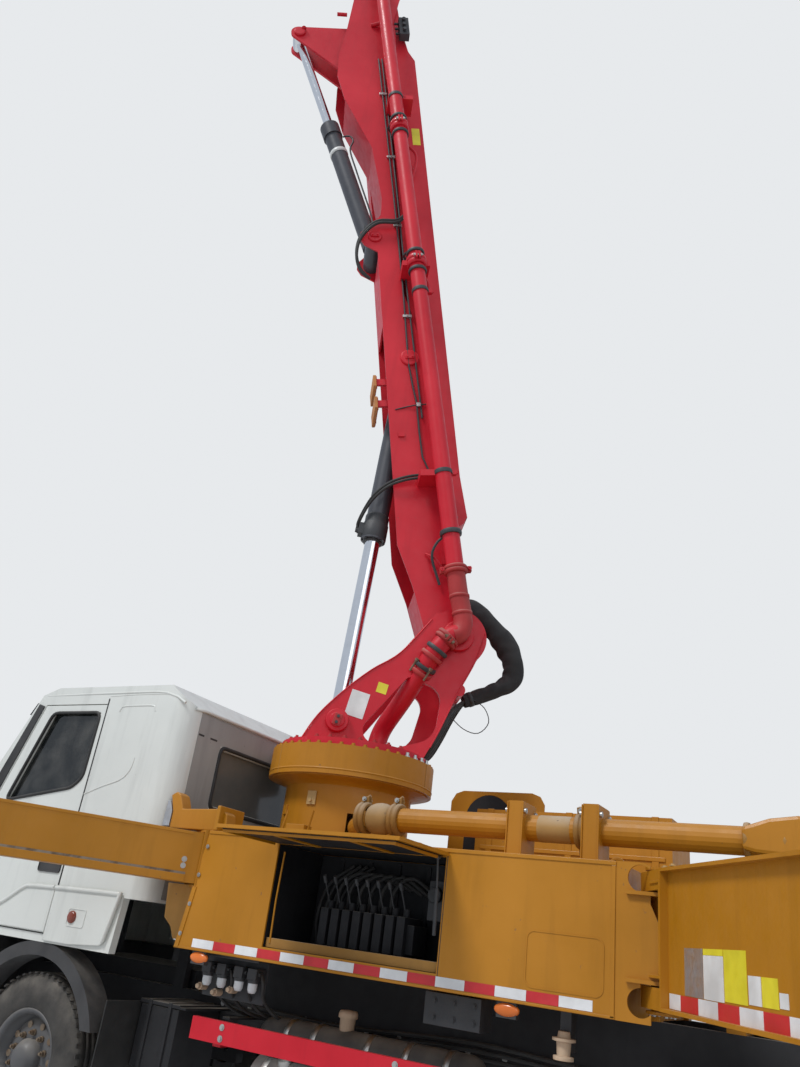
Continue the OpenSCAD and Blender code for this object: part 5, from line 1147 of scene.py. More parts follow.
for s, n in SIDES:
    door = f"door_{n}"
    window_seal, handle, pressing, recess, lamp, pull, steps = (Shape() for k in range(7))
    ring_line(window_seal, [(x, s * (HALF_W + 0.001), z) for x, z in DOOR_WINDOW], 0.013)
    window_seal.done(f"door_seal_{n}", RUBBER, door)
    handle.slab(s, (DOOR_X1 - 0.24, DOOR_X1 - 0.07), (HALF_W, HALF_W + 0.022), (2.06, 2.1))
    handle.done(f"door_handle_{n}", BLACK, door, 0.006)
    for r, step, points in PRESSINGS:
        pressing.tube([(x, s * (HALF_W - 0.002), z) for x, z in points], r, 8, step)
    pressing.done(f"side_pressing_{n}", WHITE)
    side_prism(f"screen_pillar_{n}", s, SCREEN_PILLAR, HALF_W + 0.01, BLACK, bevel=0.003)
    # raised fender over the wheel: its front half is on the door
    side_prism(f"fender_rear_{n}", s, FENDER_REAR, FENDER_Y, WHITE, bevel=0.006)
    side_prism(f"fender_front_{n}", s, FENDER_FRONT, FENDER_Y, WHITE, door, 0.006)
    rounded_frame(recess, -4.262, -4.084, 1.375, 1.495, 0.018, 0.008, s * (FENDER_Y - 0.002), 0.006, s)
    recess.done(f"fender_recess_{n}", WHITE, bevel=0.002)
    lamp.turn([(0.0, 0.018), (0.03, 0.017), (0.04, 0.008), (0.042, -0.002)], (-4.215, s * FENDER_Y, 1.437),
              (0, s, 0), 28)
    lamp.done(f"fender_lamp_{n}", DULL_RED)
    pull.slab(s, (-4.715, -4.49), (SKIN_Y, HALF_W + 0.006), (1.715, 1.8))
    rounded_frame(pull, -4.722, -4.483, 1.708, 1.807, 0.02, 0.008, s * HALF_W, 0.01, s)
    pull.done(f"door_pull_{n}", BLACK, door, 0.002)
    for z in (0.72, 1.02):
        steps.slab(s, (-5.4, -5.2), (1.0, 1.243), (z, z + 0.012))
    steps.done(f"cab_steps_{n}", STRAP, bevel=0.002)

# rear wall in the cab's white darkened to grey as painted shade, its slots, and the white lip of the roof
# above it
wall, slots, lip = Shape(), Shape(), Shape()
for y0, y1, z0, z1 in ((-1.075, 1.075, 1.62, 2.285), (-1.075, 1.075, 2.755, 2.945),
                       (-1.075, -0.795, 2.285, 2.755), (0.795, 1.075, 2.285, 2.755)):
    wall.box((CAB_REAR + 0.0005, y0, z0), (CAB_REAR + 0.003, y1, z1))
wall.done("cab_rear_skin", SHADED_CAB_WHITE)
lip.tube([(-3.612, -1.13, 2.955), (-3.588, -1.05, 2.96), (-3.586, 0, 2.962), (-3.588, 1.05, 2.96),
          (-3.612, 1.13, 2.955)], 0.012, 10, 0.08)
lip.done("roof_lip", WHITE)
for y0, y1 in ((-1.066, -1.005), (-0.931, -0.851), (0.851, 0.931), (1.005, 1.066)):
    slots.box((CAB_REAR + 0.003, y0, 2.776), (CAB_REAR + 0.005, y1, 2.79))
slots.done("rear_slots", BLACK, bevel=0.001)

# cab front and roof: grille, head lamps, visor, wipers, roof lamps and gutter
grille, lenses, lamp_rims, visor, wipers, roof_lamps, gutter = (Shape() for k in range(7))
for k in range(7):
    z = 1.42 + 0.065 * k
    grille.box((FRONT_X - 0.0018, -0.82, z), (FRONT_X + 0.01, 0.82, z + 0.03))
grille.box((FRONT_X - 0.0008, -0.86, 1.38), (FRONT_X + 0.01, 0.86, 1.9))
grille.done("front_grille", BLACK, bevel=0.0005)
for s in (-1, 1):
    for y in (0.78, 0.98):
        lenses.turn([(0.0, 0.0018), (0.06, 0.0015), (0.085, 0.001), (0.09, 0.0)], (FRONT_X, s * y, 0.86),
                    FORWARD, 28)
        lamp_rims.turn([(0.09, 0.0), (0.1, 0.002), (0.1, 0.005), (0.09, 0.0068)],
                       (FRONT_X + 0.005, s * y, 0.86), FORWARD, 28)
lenses.done("head_lamps", CLEARLENS)
lamp_rims.done("head_lamp_rims", CHROME)
visor.prism([(-5.3, 3.075), (-5.46, 3.03), (-5.52, 2.93), (-5.505, 2.925), (-5.45, 3.015), (-5.3, 3.055)],
            -1.12, 1.12)
visor.done("sun_visor", BLACK, bevel=0.003)
for y in (-0.55, 0.35):
    wipers.rod((-5.755, y, 2.14), (-5.63, y + 0.38, 2.42), 0.008, 8)
    wipers.rod((-5.7, y + 0.1, 2.28), (-5.5, y + 0.66, 2.6), 0.006, 8)
wipers.done("wipers", BLACK)
for y in (-0.9, -0.3, 0.3, 0.9):
    roof_lamps.box((-5.06, y - 0.05, CAB_TOP - 0.004), (-4.98, y + 0.05, CAB_TOP + 0.028))
roof_lamps.done("roof_lamps", ORANGE, bevel=0.008)
for s in (-1, 1):
    gutter.tube([(-5.2, s * 1.232, 3.055), (-4.4, s * 1.236, 3.065), (-3.85, s * 1.236, 3.06),
                 (-3.64, s * 1.236, 2.98)], 0.01, 8, 0.1)
gutter.done("roof_gutter", WHITE)

# under the side boxes: lamps, air unit with its bowls and hoses, filler cups, tank straps
FILLER_CUP = [(0.0, 0.13), (0.03, 0.128), (0.034, 0.1), (0.06, 0.098), (0.06, 0.085), (0.038, 0.08),
              (0.034, 0.02), (0.052, 0.018), (0.052, 0.0), (0.0, -0.002)]
LAMP_SIDES, LAMP_WIDTH = 28, 2.1
TANK_AXIS_Y = 0.755
for s, n in SIDES:
    out_y = (0, s, 0)
    lamps, holders, unit, bowls, hoses, cups, tank_bands, guard_bolts = (Shape() for k in range(8))
    for x in (-3.03, -0.93):
        lamp = [(0.0, 0.016), (0.018, 0.014), (0.03, 0.006), (0.033, 0.0), (0.033, -0.012)]
        lamps.turn(lamp, (x, s * 1.232, 1.318), out_y, LAMP_SIDES)
        for v in lamps.v[-LAMP_SIDES * len(lamp):]:
            v.x = x + (v.x - x) * LAMP_WIDTH
        holders.slab(s, (x - 0.04, x + 0.04), (1.196, 1.2345), (1.305, 1.352))
        holders.rod((x - 0.03, s * 1.2, 1.33), (x - 0.03, s * 1.1, 1.3), 0.007, 8)
    lamps.done(f"side_lamps_{n}", ORANGE)
    holders.done(f"side_lamp_holders_{n}", WORN_AND_SHADED_YELLOW, bevel=0.008)
    unit.slab(s, (-3.16, -2.62), (0.98, 1.14), (1.335, 1.353))
    unit.slab(s, (-3.14, -2.64), (0.99, 1.0), (1.1, 1.34))
    for x in (-3.06, -2.94, -2.8, -2.69):
        unit.slab(s, (x - 0.035, x + 0.035), (1.0, 1.1), (1.235, 1.3))
        bowls.turn([(0.0, -0.075), (0.02, -0.073), (0.03, -0.055), (0.031, 0.0)], (x, s * 1.07, 1.235),
                   UP, 20)
        unit.rod((x, s * 1.07, 1.235), (x, s * 1.07, 1.218), 0.036, 20)
        unit.rod((x - 0.05, s * 1.07, 1.27), (x + 0.05, s * 1.07, 1.27), 0.012, 10)
        hoses.tube([(x + 0.04, s * 1.05, 1.27), (x + 0.08, s * 1.07, 1.22), (x + 0.06, s * 1.0, 1.12),
                    (x + 0.1, s * 0.8, 1.02), (x + 0.3, s * 0.45, 1.0)], 0.01, 8, 0.04)
    for x, z in ((-3.12, 1.15), (-2.99, 1.13), (-2.87, 1.16)):
        cups.rod((x, s * 1.0, z), (x, s * 1.06, z), 0.022, 14)
        cups.rod((x, s * 1.06, z), (x, s * 1.085, z), 0.015, 6)
    cups.turn(FILLER_CUP, (-0.66, s * 1.1, 1.13), UP, 24)
    unit.slab(s, (-0.69, -0.63), (0.99, 1.08), (1.165, 1.355))
    unit.slab(s, (-1.46, -1.12), (0.96, 1.12), (1.18, 1.34))
    for x in (-1.4, -1.28, -1.16):
        unit.bolts([(x, s * 1.12, 1.22), (x, s * 1.12, 1.3)], out_y, 0.011, 0.01)
    for k in range(3):
        dy, dz = 0.03 * k, 0.04 * k
        hoses.tube([(-3.3, s * (0.5 + dy), 0.98 + dz), (-2.4, s * (0.52 + dy), 0.95 + dz),
                    (-1.4, s * (0.5 + dy), 1.0 + dz), (-0.6, s * (0.5 + dy), 0.97 + dz)], 0.013, 8, 0.15)
    unit.done(f"air_unit_{n}", STRAP, bevel=0.003)
    bowls.done(f"air_unit_bowls_{n}", CLEARLENS)
    hoses.done(f"rail_hoses_{n}", RUBBER)
    cups.done(f"filler_cups_{n}", PALE, bevel=0.001)
    for x in (-2.62, -2.26, -1.9):
        tank_bands.turn(band(0.2005, 0.205, 0.02), (x, s * TANK_AXIS_Y, 0.64), ALONG_X, 40)
    tank_bands.turn([(0.0, 0.03), (0.045, 0.028), (0.05, 0.0)], (-2.5, s * (TANK_AXIS_Y + 0.1), 0.81),
                    (0, s * 0.5, 1), 20)
    tank_bands.done(f"tank_straps_{n}", STEEL, bevel=0.001)
    for x in (-2.75, -1.55):
        guard_bolts.bolts([(x, s * 1.2205, 0.91), (x, s * 1.2205, 0.97)], out_y, 0.012, 0.009)
    guard_bolts.done(f"guard_bolts_{n}", STEEL)

# pump cylinders: collars, bolts, bands and hoses
PUMP_HOSES = ((0.4, 0.022, (1.66, 1.72, 1.74, 1.72, 1.62)), (0.46, 0.018, (1.6, 1.66, 1.67, 1.66, 1.52)))
flange_bolts, collars, hoses = Shape(), Shape(), Shape()
for s in (-1, 1):
    y = s * PUMP_Y
    for x in (0.17, 4.6):
        collars.turn(band(0.13, 0.165, 0.03), (x, y, PUMP_Z), ALONG_X, 32)
        flange_bolts.bolts(round_row((x - 0.03, y, PUMP_Z), 0.148, 8, "x"), FORWARD, 0.011, 0.01)
    for x in (1.3, 2.4, 3.5):
        collars.turn(band(0.1305, 0.136, 0.02), (x, y, PUMP_Z), ALONG_X, 32)
    for out, r, heights in PUMP_HOSES:
        places = zip((0.1, 0.5, 2.0, 4.0, 4.55), (out, out + 0.02, out, out, out - 0.04), heights)
        hoses.tube([(x, s * dy, z) for x, dy, z in places], r, 10, 0.15)
flange_bolts.done("pump_cylinder_bolts", STEEL)
collars.done("pump_cylinder_collars", YELLOW, bevel=0.003)
hoses.done("pump_hoses", RUBBER)

# hopper sides: ribs, rim, agitator bearings and motor
ribs, front_gear, hopper_bolts, bearings, motor, hoses = (Shape() for k in range(6))
RIM_BOLT_XS = (4.78, 5.05, 5.3, 5.55, 5.78)
for s in (-1, 1):
    out_y = (0, s, 0)
    y = (HOPPER_SIDE_Y, 1.182)
    for x, low in ((4.93, 0.99), (5.18, 0.815), (5.42, 0.815), (5.66, 1.04)):
        ribs.slab(s, (x - 0.006, x + 0.006), y, (low, 1.58))
    ribs.slab(s, (4.705, 5.845), (HOPPER_SIDE_Y, 1.19), (1.585, 1.618))
    ribs.slab(s, (5.075, 5.525), y, (0.802, 0.816))
    bearings.turn([(0.0, 0.075), (0.075, 0.07), (0.08, 0.02), (0.125, 0.018), (0.13, 0.0)],
                  (SHAFT_X, s * HOPPER_SIDE_Y, SHAFT_Z), out_y, 32)
    hopper_bolts.bolts(round_row((SHAFT_X, s * 1.168, SHAFT_Z), 0.108, 8, "y", 0.2), out_y, 0.01, 0.01)
    hopper_bolts.bolts([(x, s * 1.19, 1.602) for x in RIM_BOLT_XS], out_y, 0.009, 0.008)
ribs.done("hopper_side_ribs", YELLOW, bevel=0.002)
for y0, y1, r, n in ((-1.215, -1.235, 0.055, 24), (-1.235, -1.4, 0.068, 24), (-1.4, -1.42, 0.045, 20)):
    motor.rod((SHAFT_X, y0, SHAFT_Z), (SHAFT_X, y1, SHAFT_Z), r, n)
for dx in (-0.03, 0.03):
    x = SHAFT_X + dx
    motor.rod((x, -1.34, 1.19), (x, -1.34, 1.225), 0.018, 6)
    hoses.tube([(x, -1.34, 1.22), (SHAFT_X + dx * 0.5, -1.34, 1.3), (5.16, -1.3, 1.345 + dx),
                (4.9, -1.235, 1.36 + dx), (4.7, -1.1, 1.38 + dx), (4.62, -0.85, 1.36 + dx),
                (4.55, -0.5, 1.3 + dx), (4.4, -0.36, 1.24 + dx)], 0.014, 10, 0.04)
motor.done("agitator_motor", STRAP, bevel=0.002)
bearings.done("agitator_bearings", YELLOW)

# agitator: a shaft with eight arms, each with a paddle, twisted opposite ways in the two halves
ARMS, ARM_PITCH = 8, 0.265
shaft = Shape()
shaft.rod((SHAFT_X, -1.13, SHAFT_Z), (SHAFT_X, 1.13, SHAFT_Z), 0.034, 20)
for k in range(ARMS):
    y = -0.93 + ARM_PITCH * k
    twist = 0.5 if k < ARMS / 2 else -0.5
    m = at(SHAFT_X, y, SHAFT_Z) @ Matrix.Rotation(k * 0.8, 4, "Y") @ Matrix.Rotation(twist, 4, "Z")
    shaft.box((-0.012, -0.018, 0.03), (0.012, 0.018, 0.2), m)
    shaft.box((-0.01, -0.075, 0.17), (0.01, 0.075, 0.235), m)
    shaft.rod((SHAFT_X, y - 0.035, SHAFT_Z), (SHAFT_X, y + 0.035, SHAFT_Z), 0.048, 20)
shaft.done("agitator_shaft", RUSTY, bevel=0.002)

# front wall of the hopper: outlet flange, cross cylinders and their brackets
WALL_X, OUTLET_Y, OUTLET_Z, CROSS_Z = HOPPER_FRONT_X, -0.6, 1.42, 1.295
front_gear.turn([(0.066, 0.0), (0.125, 0.0), (0.125, 0.022), (0.066, 0.026)], (WALL_X, OUTLET_Y, OUTLET_Z),
                FORWARD, 32)
hopper_bolts.bolts(round_row((WALL_X - 0.022, OUTLET_Y, OUTLET_Z), 0.1, 8, "x"), FORWARD, 0.01, 0.01)
front_gear.box((WALL_X - 0.05, -1.13, 1.585), (WALL_X, 1.13, 1.6))
for y in (-0.95, -0.42, 0.42, 0.95):
    front_gear.box((WALL_X - 0.045, y - 0.006, 1.27), (WALL_X, y + 0.006, 1.585))
x = WALL_X - 0.07
for s in (-1, 1):
    front_gear.slab(s, (WALL_X - 0.11, WALL_X), (0.77, 0.83), (1.26, 1.33))
    front_gear.rod((x, s * 0.78, CROSS_Z), (x, s * 0.36, CROSS_Z), 0.048, 24)
    hoses.rod((x, s * 0.36, CROSS_Z), (x, s * 0.1, CROSS_Z), 0.026, 16)
front_gear.box((WALL_X - 0.11, -0.09, 1.24), (WALL_X, 0.09, 1.36))
front_gear.done("hopper_front_gear", YELLOW, bevel=0.003)
hoses.done("hopper_hoses", RUBBER)
hopper_bolts.done("hopper_bolts", STEEL)

# lower slope of the back wall: stiffeners and a flush door
back = Shape()
slope = at(5.53, 0, 0.8) @ Matrix.Rotation(-math.atan2(0.55, 0.32), 4, "Y")
for y in (-0.8, -0.4, 0.4, 0.8):
    back.box((0.03, y - 0.006, -0.03), (0.56, y + 0.006, 0.001), slope)
back.box((0.1, -0.2, -0.012), (0.42, 0.2, 0.001), slope)
back.done("hopper_back_ribs", YELLOW, bevel=0.002)

# sill of the bay, darker yellow as painted shade, and the rolled lips of the fenders
# the sill's darker yellow is painted shade at the bottom of the bay's opening
sill = Shape()
sill.box((-2.535, -1.222, 1.436), (-1.349, -1.214, 1.49))
sill.done("bay_sill", WORN_AND_SHADED_YELLOW, bevel=0.002)
LIP_REAR = ((-4.455, 1.6115), (-4.2, 1.616), (-3.835, 1.621), (-3.812, 1.606), (-3.832, 1.5),
            (-3.872, 1.315))
LIP_FRONT = ((-4.466, 1.6115), (-4.716, 1.603), (-4.8, 1.583), (-5.018, 1.453), (-5.28, 1.36))
for s, n in SIDES:
    for place, points, body in (("rear", LIP_REAR, "chassis"), ("front", LIP_FRONT, f"door_{n}")):
        lip = Shape()
        lip.tube([(x, s * FENDER_Y, z) for x, z in points], 0.015, 14, 0.03)
        lip.done(f"fender_{place}_lip_{n}", WHITE, body)

# air reservoirs, mud flaps, door seams and the frame rails' bolts and brackets
RESERVOIR_END = [(0.0, -0.03), (0.06, -0.015), (0.095, 0.02), (0.11, 0.07)]
RESERVOIR_L = 1.5
CAP = [(0.0, 0.115), (0.052, 0.11), (0.06, 0.095), (0.06, 0.072), (0.048, 0.066), (0.046, 0.0)]
RAIL_BOLT_ROW, RAIL_BOLT_PITCH, GUSSET_BOLT_ZS = (-3.4, 4.9), 0.24, (0.9, 0.97, 1.15, 1.22)
air, air_straps, air_caps, flaps, door_seams, rail_bolts, rail_bits = (Shape() for k in range(7))
for s in (-1, 1):
    y, out_y = s * AIR_Y, (0, s, 0)
    air.turn(RESERVOIR_END + [(r, RESERVOIR_L - h) for r, h in reversed(RESERVOIR_END)], (-2.72, y, AIR_Z),
             ALONG_X, 36)
    for x in (-2.5, -2.3, -1.92, -1.66, -1.4):
        air_straps.turn(band(0.1102, 0.114, 0.018), (x, y, AIR_Z), ALONG_X, 36)
        air_straps.slab(s, (x - 0.018, x + 0.018), (0.43, 0.7), (0.925, 0.937))
    air_caps.turn(CAP, (-2.13, y, AIR_Z + 0.1), UP, 24)
    flaps.slab(s, (-3.772, -3.762), (0.6, 1.19), (0.42, 0.98))
    door_seams.tube([(x, s * SKIN_Y, z) for x, z in ((-4.452, 3.02), (-4.456, 2.3), (-4.46, 1.63))],
                    0.0055, 6, 0.1)
    x = RAIL_BOLT_ROW[0]
    while x < RAIL_BOLT_ROW[1]:
        rail_bolts.bolts([(x, s * RAIL_Y, 0.815), (x, s * RAIL_Y, 1.015)], out_y, 0.011, 0.01)
        x += RAIL_BOLT_PITCH
    for x in (2.35, 3.3, 4.25):
        rail_bits.slab(s, (x, x + 0.14), (RAIL_Y, RAIL_Y + 0.008), (0.86, 1.27))
        for dx in (0.035, 0.105):
            rail_bolts.bolts([(x + dx, s * (RAIL_Y + 0.008), z) for z in GUSSET_BOLT_ZS], out_y, 0.011, 0.01)
    for x in (-3.32, -2.95):
        rail_bits.slab(s, (x, x + 0.06), (RAIL_Y, 0.98), (0.985, 1.0))
    # battery box with its lid and two straps
    rail_bits.slab(s, (-3.74, -3.4), (0.45, 0.88), (0.6, 0.97))
    rail_bits.slab(s, (-3.75, -3.39), (0.45, 0.89), (0.975, 1.0))
    for x in (-3.67, -3.49):
        rail_bits.slab(s, (x, x + 0.03), (0.45, 0.895), (0.59, 1.006))
air.done("air_reservoirs", CHASSIS)
air_straps.done("air_reservoir_straps", STEEL)
air_caps.done("reservoir_caps", PALE)
flaps.done("front_mud_flaps", RUBBER, bevel=0.003)
door_seams.done("door_seams", BLACK)
rail_bolts.done("rail_bolts", STEEL)
rail_bits.done("rail_brackets", CHASSIS, bevel=0.012)

# deck: sleeve skirts below the front beams in darker yellow as painted shade, lifting eyes, weld seams
skirts, eyes = Shape(), Shape()
for s in (-1, 1):
    skirts.prism([(-3.47, 1.735), (-3.44, 1.52), (-3.37, 1.47), (-3.33, 1.4), (-3.23, 1.4), (-3.17, 1.735)],
                 *span(s, 1.165, 1.177))
    for x in (-1.9, -0.55):
        y = s * 0.55
        eyes.box((x - 0.06, y - 0.035, DECK_Z + 0.0002), (x + 0.06, y + 0.035, 2.094))
        eyes.turn(band(0.03, 0.048, 0.009), (x, y, 2.135), (0, 1, 0), 24)
for x in (-1.45, -0.8):
    eyes.box((x - 0.003, -0.78, DECK_Z + 0.0002), (x + 0.003, 0.6, 2.0885))
# the skirts' darker yellow is painted shade between the cab and the side box
skirts.done("sleeve_skirts", WORN_AND_SHADED_YELLOW, bevel=0.002)
eyes.done("deck_eyes", YELLOW, bevel=0.001)

# cab seats
SEAT_CLOTH = plastic("seat_cloth", (0.045, 0.047, 0.055), 0.9, 700, 0.15, 0.9)


def cushion(name, lo, hi, lean=0.0, channels=4):
    """A crowned pad between two corners, with sewn channels; lean moves its top back."""
    bm = bmesh.new()
    bmesh.ops.create_cube(bm, size=1.0)
    bmesh.ops.subdivide_edges(bm, edges=bm.edges, cuts=15, use_grid_fill=True)
    size = [hi[k] - lo[k] for k in range(3)]
    mid = [(hi[k] + lo[k]) / 2 for k in range(3)]
    thin = size.index(min(size))
    for v in bm.verts:
        q = [v.co[k] * 2 for k in range(3)]
        a, b = [q[k] for k in range(3) if k != thin]
        round_off = 1 - 0.1 * a ** 6 - 0.1 * b ** 6
        depth = 0.62 + 0.38 * (1 - a ** 4) * (1 - b ** 4)
        along, across = (q[0], b) if thin == 2 else (q[2], a)
        for c in range(1, channels):
            seam = -1 + 2 * c / channels
            depth -= 0.17 * math.exp(-((along - seam) / 0.06) ** 2) * (1 - across ** 8)
        face = q[thin]
        q = [q[k] * (depth if k == thin else round_off * (1 - 0.04 * face * face)) for k in range(3)]
        v.co = Vector([mid[k] + q[k] * size[k] / 2 for k in range(3)])
        v.co.x += lean * (v.co.z - lo[2])
    me = bpy.data.meshes.new(name)
    bm.to_mesh(me)
    bm.free()
    for f in me.polygons:
        f.use_smooth = True
    o = bpy.data.objects.new(name, me)
    bpy.context.scene.collection.objects.link(o)
    me.materials.append(SEAT_CLOTH)
    sub = o.modifiers.new("round", "SUBSURF")
    sub.levels = sub.render_levels = 1
    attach(o, "chassis")
    return o


for s, n in SIDES:
    y = s * 0.6
    cushion(f"seat_base_{n}", (AXLE1 - 0.165, y - 0.255, 1.885), (AXLE1 + 0.385, y + 0.255, 2.075))
    cushion(f"seat_back_{n}", (AXLE1 + 0.285, y - 0.248, 2.03), (AXLE1 + 0.435, y + 0.248, 2.6), 0.205, 5)
    cushion(f"seat_head_{n}", (AXLE1 + 0.425, y - 0.15, 2.6), (AXLE1 + 0.535, y + 0.15, 2.785), 0.1, 2)

# rear legs: pins, tape, blank plates, ribs and bolts
pin_heads, pin_bolts = Shape(), Shape()
for s in (-1, 1):
    y = s * LEG_Y
    for z0, z1, r, n in ((1.398, 1.412, 0.082, 30), (2.066, 2.08, 0.082, 30), (2.08, 2.0835, 0.03, 20)):
        pin_heads.rod((LEG_X, y, z0), (LEG_X, y, z1), r, n)
    pin_bolts.bolts(round_row((LEG_X, y, 1.398), 0.058, 6, "z"), (0, 0, -1), 0.01, 0.008)
pin_heads.done("leg_pin_heads", YELLOW, bevel=0.002)
pin_bolts.done("leg_pin_bolts", STEEL)
LEG_TAPE_ENDS = [0.345, 0.5, 0.726, 0.95, 1.168, 1.383, 1.59, 1.807, 2.025, 2.24, 2.45]
LEG_PLATES = (("silver", 0.561, 0.79, 1.51, 1.7), ("white", 0.797, 1.019, 1.51, 1.675),
              ("yellow", 0.797, 1.019, 1.676, 1.7), ("yellow", 1.026, 1.25, 1.515, 1.7),
              ("white", 1.262, 1.374, 1.52, 1.616), ("yellow", 1.38, 1.515, 1.52, 1.616),
              ("white", 1.523, 1.592, 1.525, 1.573))
TAPE_MATS = {"red": TAPE_RED, "white": TAPE_WHITE}
SIGN_MATS = {"white": SIGN_WHITE, "yellow": SIGN_YELLOW, "silver": SIGN_SILVER}
TAPER_X = 1.9


def rear_leg_trim(s, n):
    """Everything on one rear leg, drawn with the leg along X from its pin."""
    leg = at(LEG_X, s * LEG_Y, 0) @ turned(s * LEG_OUT, "Z")
    body = f"rear_leg_{n}"
    tapes = {color: Shape(leg) for color in TAPE_MATS}
    plates = {color: Shape(leg) for color in SIGN_MATS}
    web, top_bolts = Shape(leg), Shape(leg)
    for side in (-1, 1):
        face = (0.0752, 0.0768)
        for k, (x0, x1) in enumerate(zip(LEG_TAPE_ENDS, LEG_TAPE_ENDS[1:])):
            z = 1.445 + max(0, x0 - TAPER_X) * 0.1
            tapes["red" if k % 2 else "white"].slab(side, (x0 + 0.0005, x1 - 0.0005), face, (z, z + 0.062))
        for color, x0, x1, z0, z1 in LEG_PLATES:
            plates[color].slab(side, (x0, x1), face, (z0, z1))
        # ribs between the flanges, and the pads welded on the web
        for x in (1.93, 2.36):
            z = (1.46 + (x - TAPER_X) * 0.1, 2.0 - (x - TAPER_X) * 0.2)
            web.slab(side, (x, x + 0.012), (0.074, 0.112), z)
        for x0, z0, z1 in ((0.296, 1.575, 1.985), (0.15, 1.985, 1.999), (0.12, 1.56, 1.575)):
            web.slab(side, (x0, 0.31), (0.074, 0.112), (z0, z1))
    for x in (0.36, 0.48):
        top_bolts.bolts([(x, 0.095, 2.0503), (x, -0.095, 2.0503)], UP, 0.012, 0.01)
    for color, shape in tapes.items():
        shape.done(f"leg_tape_{color}_{n}", TAPE_MATS[color], body)
    for color, shape in plates.items():
        shape.done(f"leg_plates_{color}_{n}", SIGN_MATS[color], body)
    web.done(f"leg_ribs_{n}", YELLOW, body, 0.002)
    top_bolts.done(f"leg_bolts_{n}", PALE_YELLOW, body)


def front_beam_trim(s, n):
    """Ledges, the dark seam and the root's bolts, drawn with the beam along X."""
    beam = Matrix.Diagonal((1, s, 1, 1)) @ at(BEAM_X, BEAM_Y, 0) @ turned(180 - BEAM_OUT, "Z")
    body = f"front_beam_{n}"
    ledge, seam, root = Shape(beam), Shape(beam), Shape(beam)
    along = (0.075, 2.1)
    for side in (-1, 1):
        face = (BEAM_HALF_W, BEAM_HALF_W + 0.004)
        ledge.slab(side, along, face, (BEAM_Z0 + 0.001, BEAM_Z0 + 0.048))
        ledge.slab(side, along, face, (BEAM_Z1 - 0.02, BEAM_Z1 - 0.001))
        seam.slab(side, along, (BEAM_HALF_W + 0.0002, BEAM_HALF_W + 0.003),
                  (BEAM_Z0 + 0.048, BEAM_Z0 + 0.062))
        root.bolts([(0.1, side * (BEAM_HALF_W + 0.0002), BEAM_Z0 + dz) for dz in (0.1, 0.14)], (0, side, 0),
                   0.012, 0.004)
    ledge.done(f"beam_ledge_{n}", YELLOW, body, 0.003)
    seam.done(f"beam_seam_{n}", RUSTY, body)
    root.done(f"beam_bolts_{n}", STEEL, body)


def beam_hook(s, n):
    """On the sleeve: the hook that holds the beam in travel, its flange and a bright strip."""
    hook, strip = Shape(), Shape()
    hook.prism([(-3.555, 2.088), (-3.555, 2.2), (-3.585, 2.27), (-3.6, 2.31), (-3.555, 2.335),
                (-3.515, 2.315), (-3.485, 2.255), (-3.47, 2.22), (-3.11, 2.235), (-3.06, 2.2),
                (-3.04, 2.088)], *span(s, 1.1, 1.2))
    hook.slab(s, (-3.115, -3.085), (0.98, 1.246), (2.087, 2.25))
    hook.done(f"beam_hook_{n}", YELLOW, bevel=0.006)
    strip.prism([(-3.625, 2.1), (-3.615, 2.27), (-3.59, 2.27), (-3.56, 2.2), (-3.56, 2.1)],
                *span(s, 1.195, 1.205))
    strip.done(f"beam_hook_strip_{n}", SIGN_SILVER, bevel=0.001)


for s, n in SIDES:
    rear_leg_trim(s, n)
    front_beam_trim(s, n)
    beam_hook(s, n)

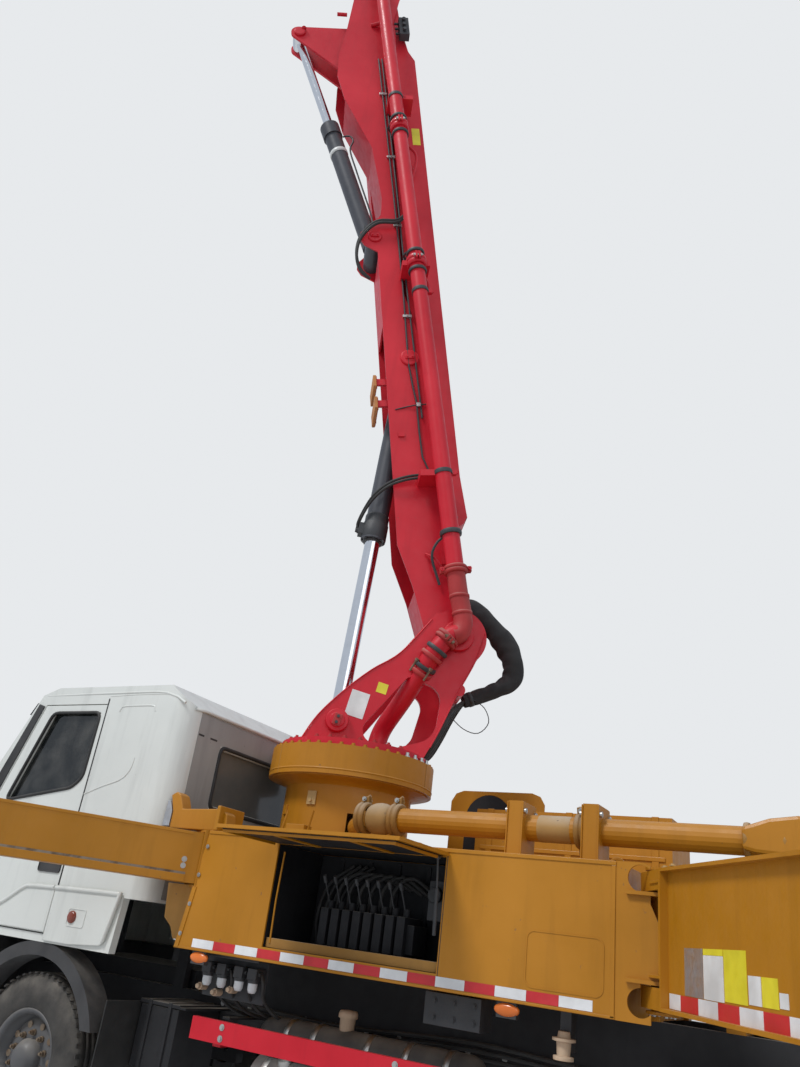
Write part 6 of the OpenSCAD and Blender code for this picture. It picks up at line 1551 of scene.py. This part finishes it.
# camera, solved from the photo: focal length in pixels of a picture 1067 high
F_PX, PHOTO_H, SENSOR_H = 850.0, 1067.0, 24.0
CAMERA_AT = (0.95, -5.95, 1.58)
TURN, TILT, ROLL = math.radians(31.7), math.radians(25.3), math.radians(-7.75)
up = Vector((0, 0, 1))
level = Vector((-math.sin(TURN), math.cos(TURN), 0))
level_right = Vector((math.cos(TURN), math.sin(TURN), 0))
ahead = math.cos(TILT) * level + math.sin(TILT) * up
tilted_up = -math.sin(TILT) * level + math.cos(TILT) * up
right = math.cos(ROLL) * level_right - math.sin(ROLL) * tilted_up
upright = math.sin(ROLL) * level_right + math.cos(ROLL) * tilted_up
cam_data = bpy.data.cameras.new("camera")
cam_data.sensor_fit = "VERTICAL"
cam_data.sensor_height = SENSOR_H
cam_data.lens = F_PX * SENSOR_H / PHOTO_H
cam_data.clip_end = 200
cam = bpy.data.objects.new("camera", cam_data)
bpy.context.scene.collection.objects.link(cam)
cam.matrix_world = at(*CAMERA_AT) @ Matrix((right, upright, -ahead)).transposed().to_4x4()
bpy.context.scene.camera = cam

# soft light, a pale sky for the camera alone, and a pale floor
scene = bpy.context.scene
scene.view_settings.view_transform = "Standard"
world = bpy.data.worlds.new("studio")
scene.world = world
world.use_nodes = True
wn = world.node_tree
wn.nodes.clear()
w_out = wn.nodes.new("ShaderNodeOutputWorld")
w_mix = wn.nodes.new("ShaderNodeMixShader")
w_path = wn.nodes.new("ShaderNodeLightPath")
wn.links.new(w_path.outputs["Is Camera Ray"], w_mix.inputs[0])
for k, (color, strength) in enumerate((((0.8, 0.88, 1.0, 1), 0.62), ((0.8, 0.82, 0.84, 1), 1.0))):
    sky = wn.nodes.new("ShaderNodeBackground")
    sky.inputs["Color"].default_value = color
    sky.inputs["Strength"].default_value = strength
    wn.links.new(sky.outputs[0], w_mix.inputs[k + 1])
wn.links.new(w_mix.outputs[0], w_out.inputs["Surface"])


def sun(name, direction, energy, angle):
    d = bpy.data.lights.new(name, "SUN")
    d.energy = energy
    d.angle = math.radians(angle)
    o = bpy.data.objects.new(name, d)
    bpy.context.scene.collection.objects.link(o)
    o.rotation_euler = Vector(direction).to_track_quat("-Z", "Y").to_euler()


sun("key", (0.35, 0.75, -1.0), 1.9, 14)
sun("fill", (-0.6, 0.5, -0.35), 0.35, 40)

bpy.ops.mesh.primitive_plane_add(size=160, location=(0, 0, -0.001))
floor = bpy.context.object
floor.name = "floor"
floor_mat, _, floor_bsdf = new_material("floor_pale")
floor_bsdf.inputs["Base Color"].default_value = (0.62, 0.62, 0.61, 1)
floor_bsdf.inputs["Roughness"].default_value = 0.9
floor.data.materials.append(floor_mat)
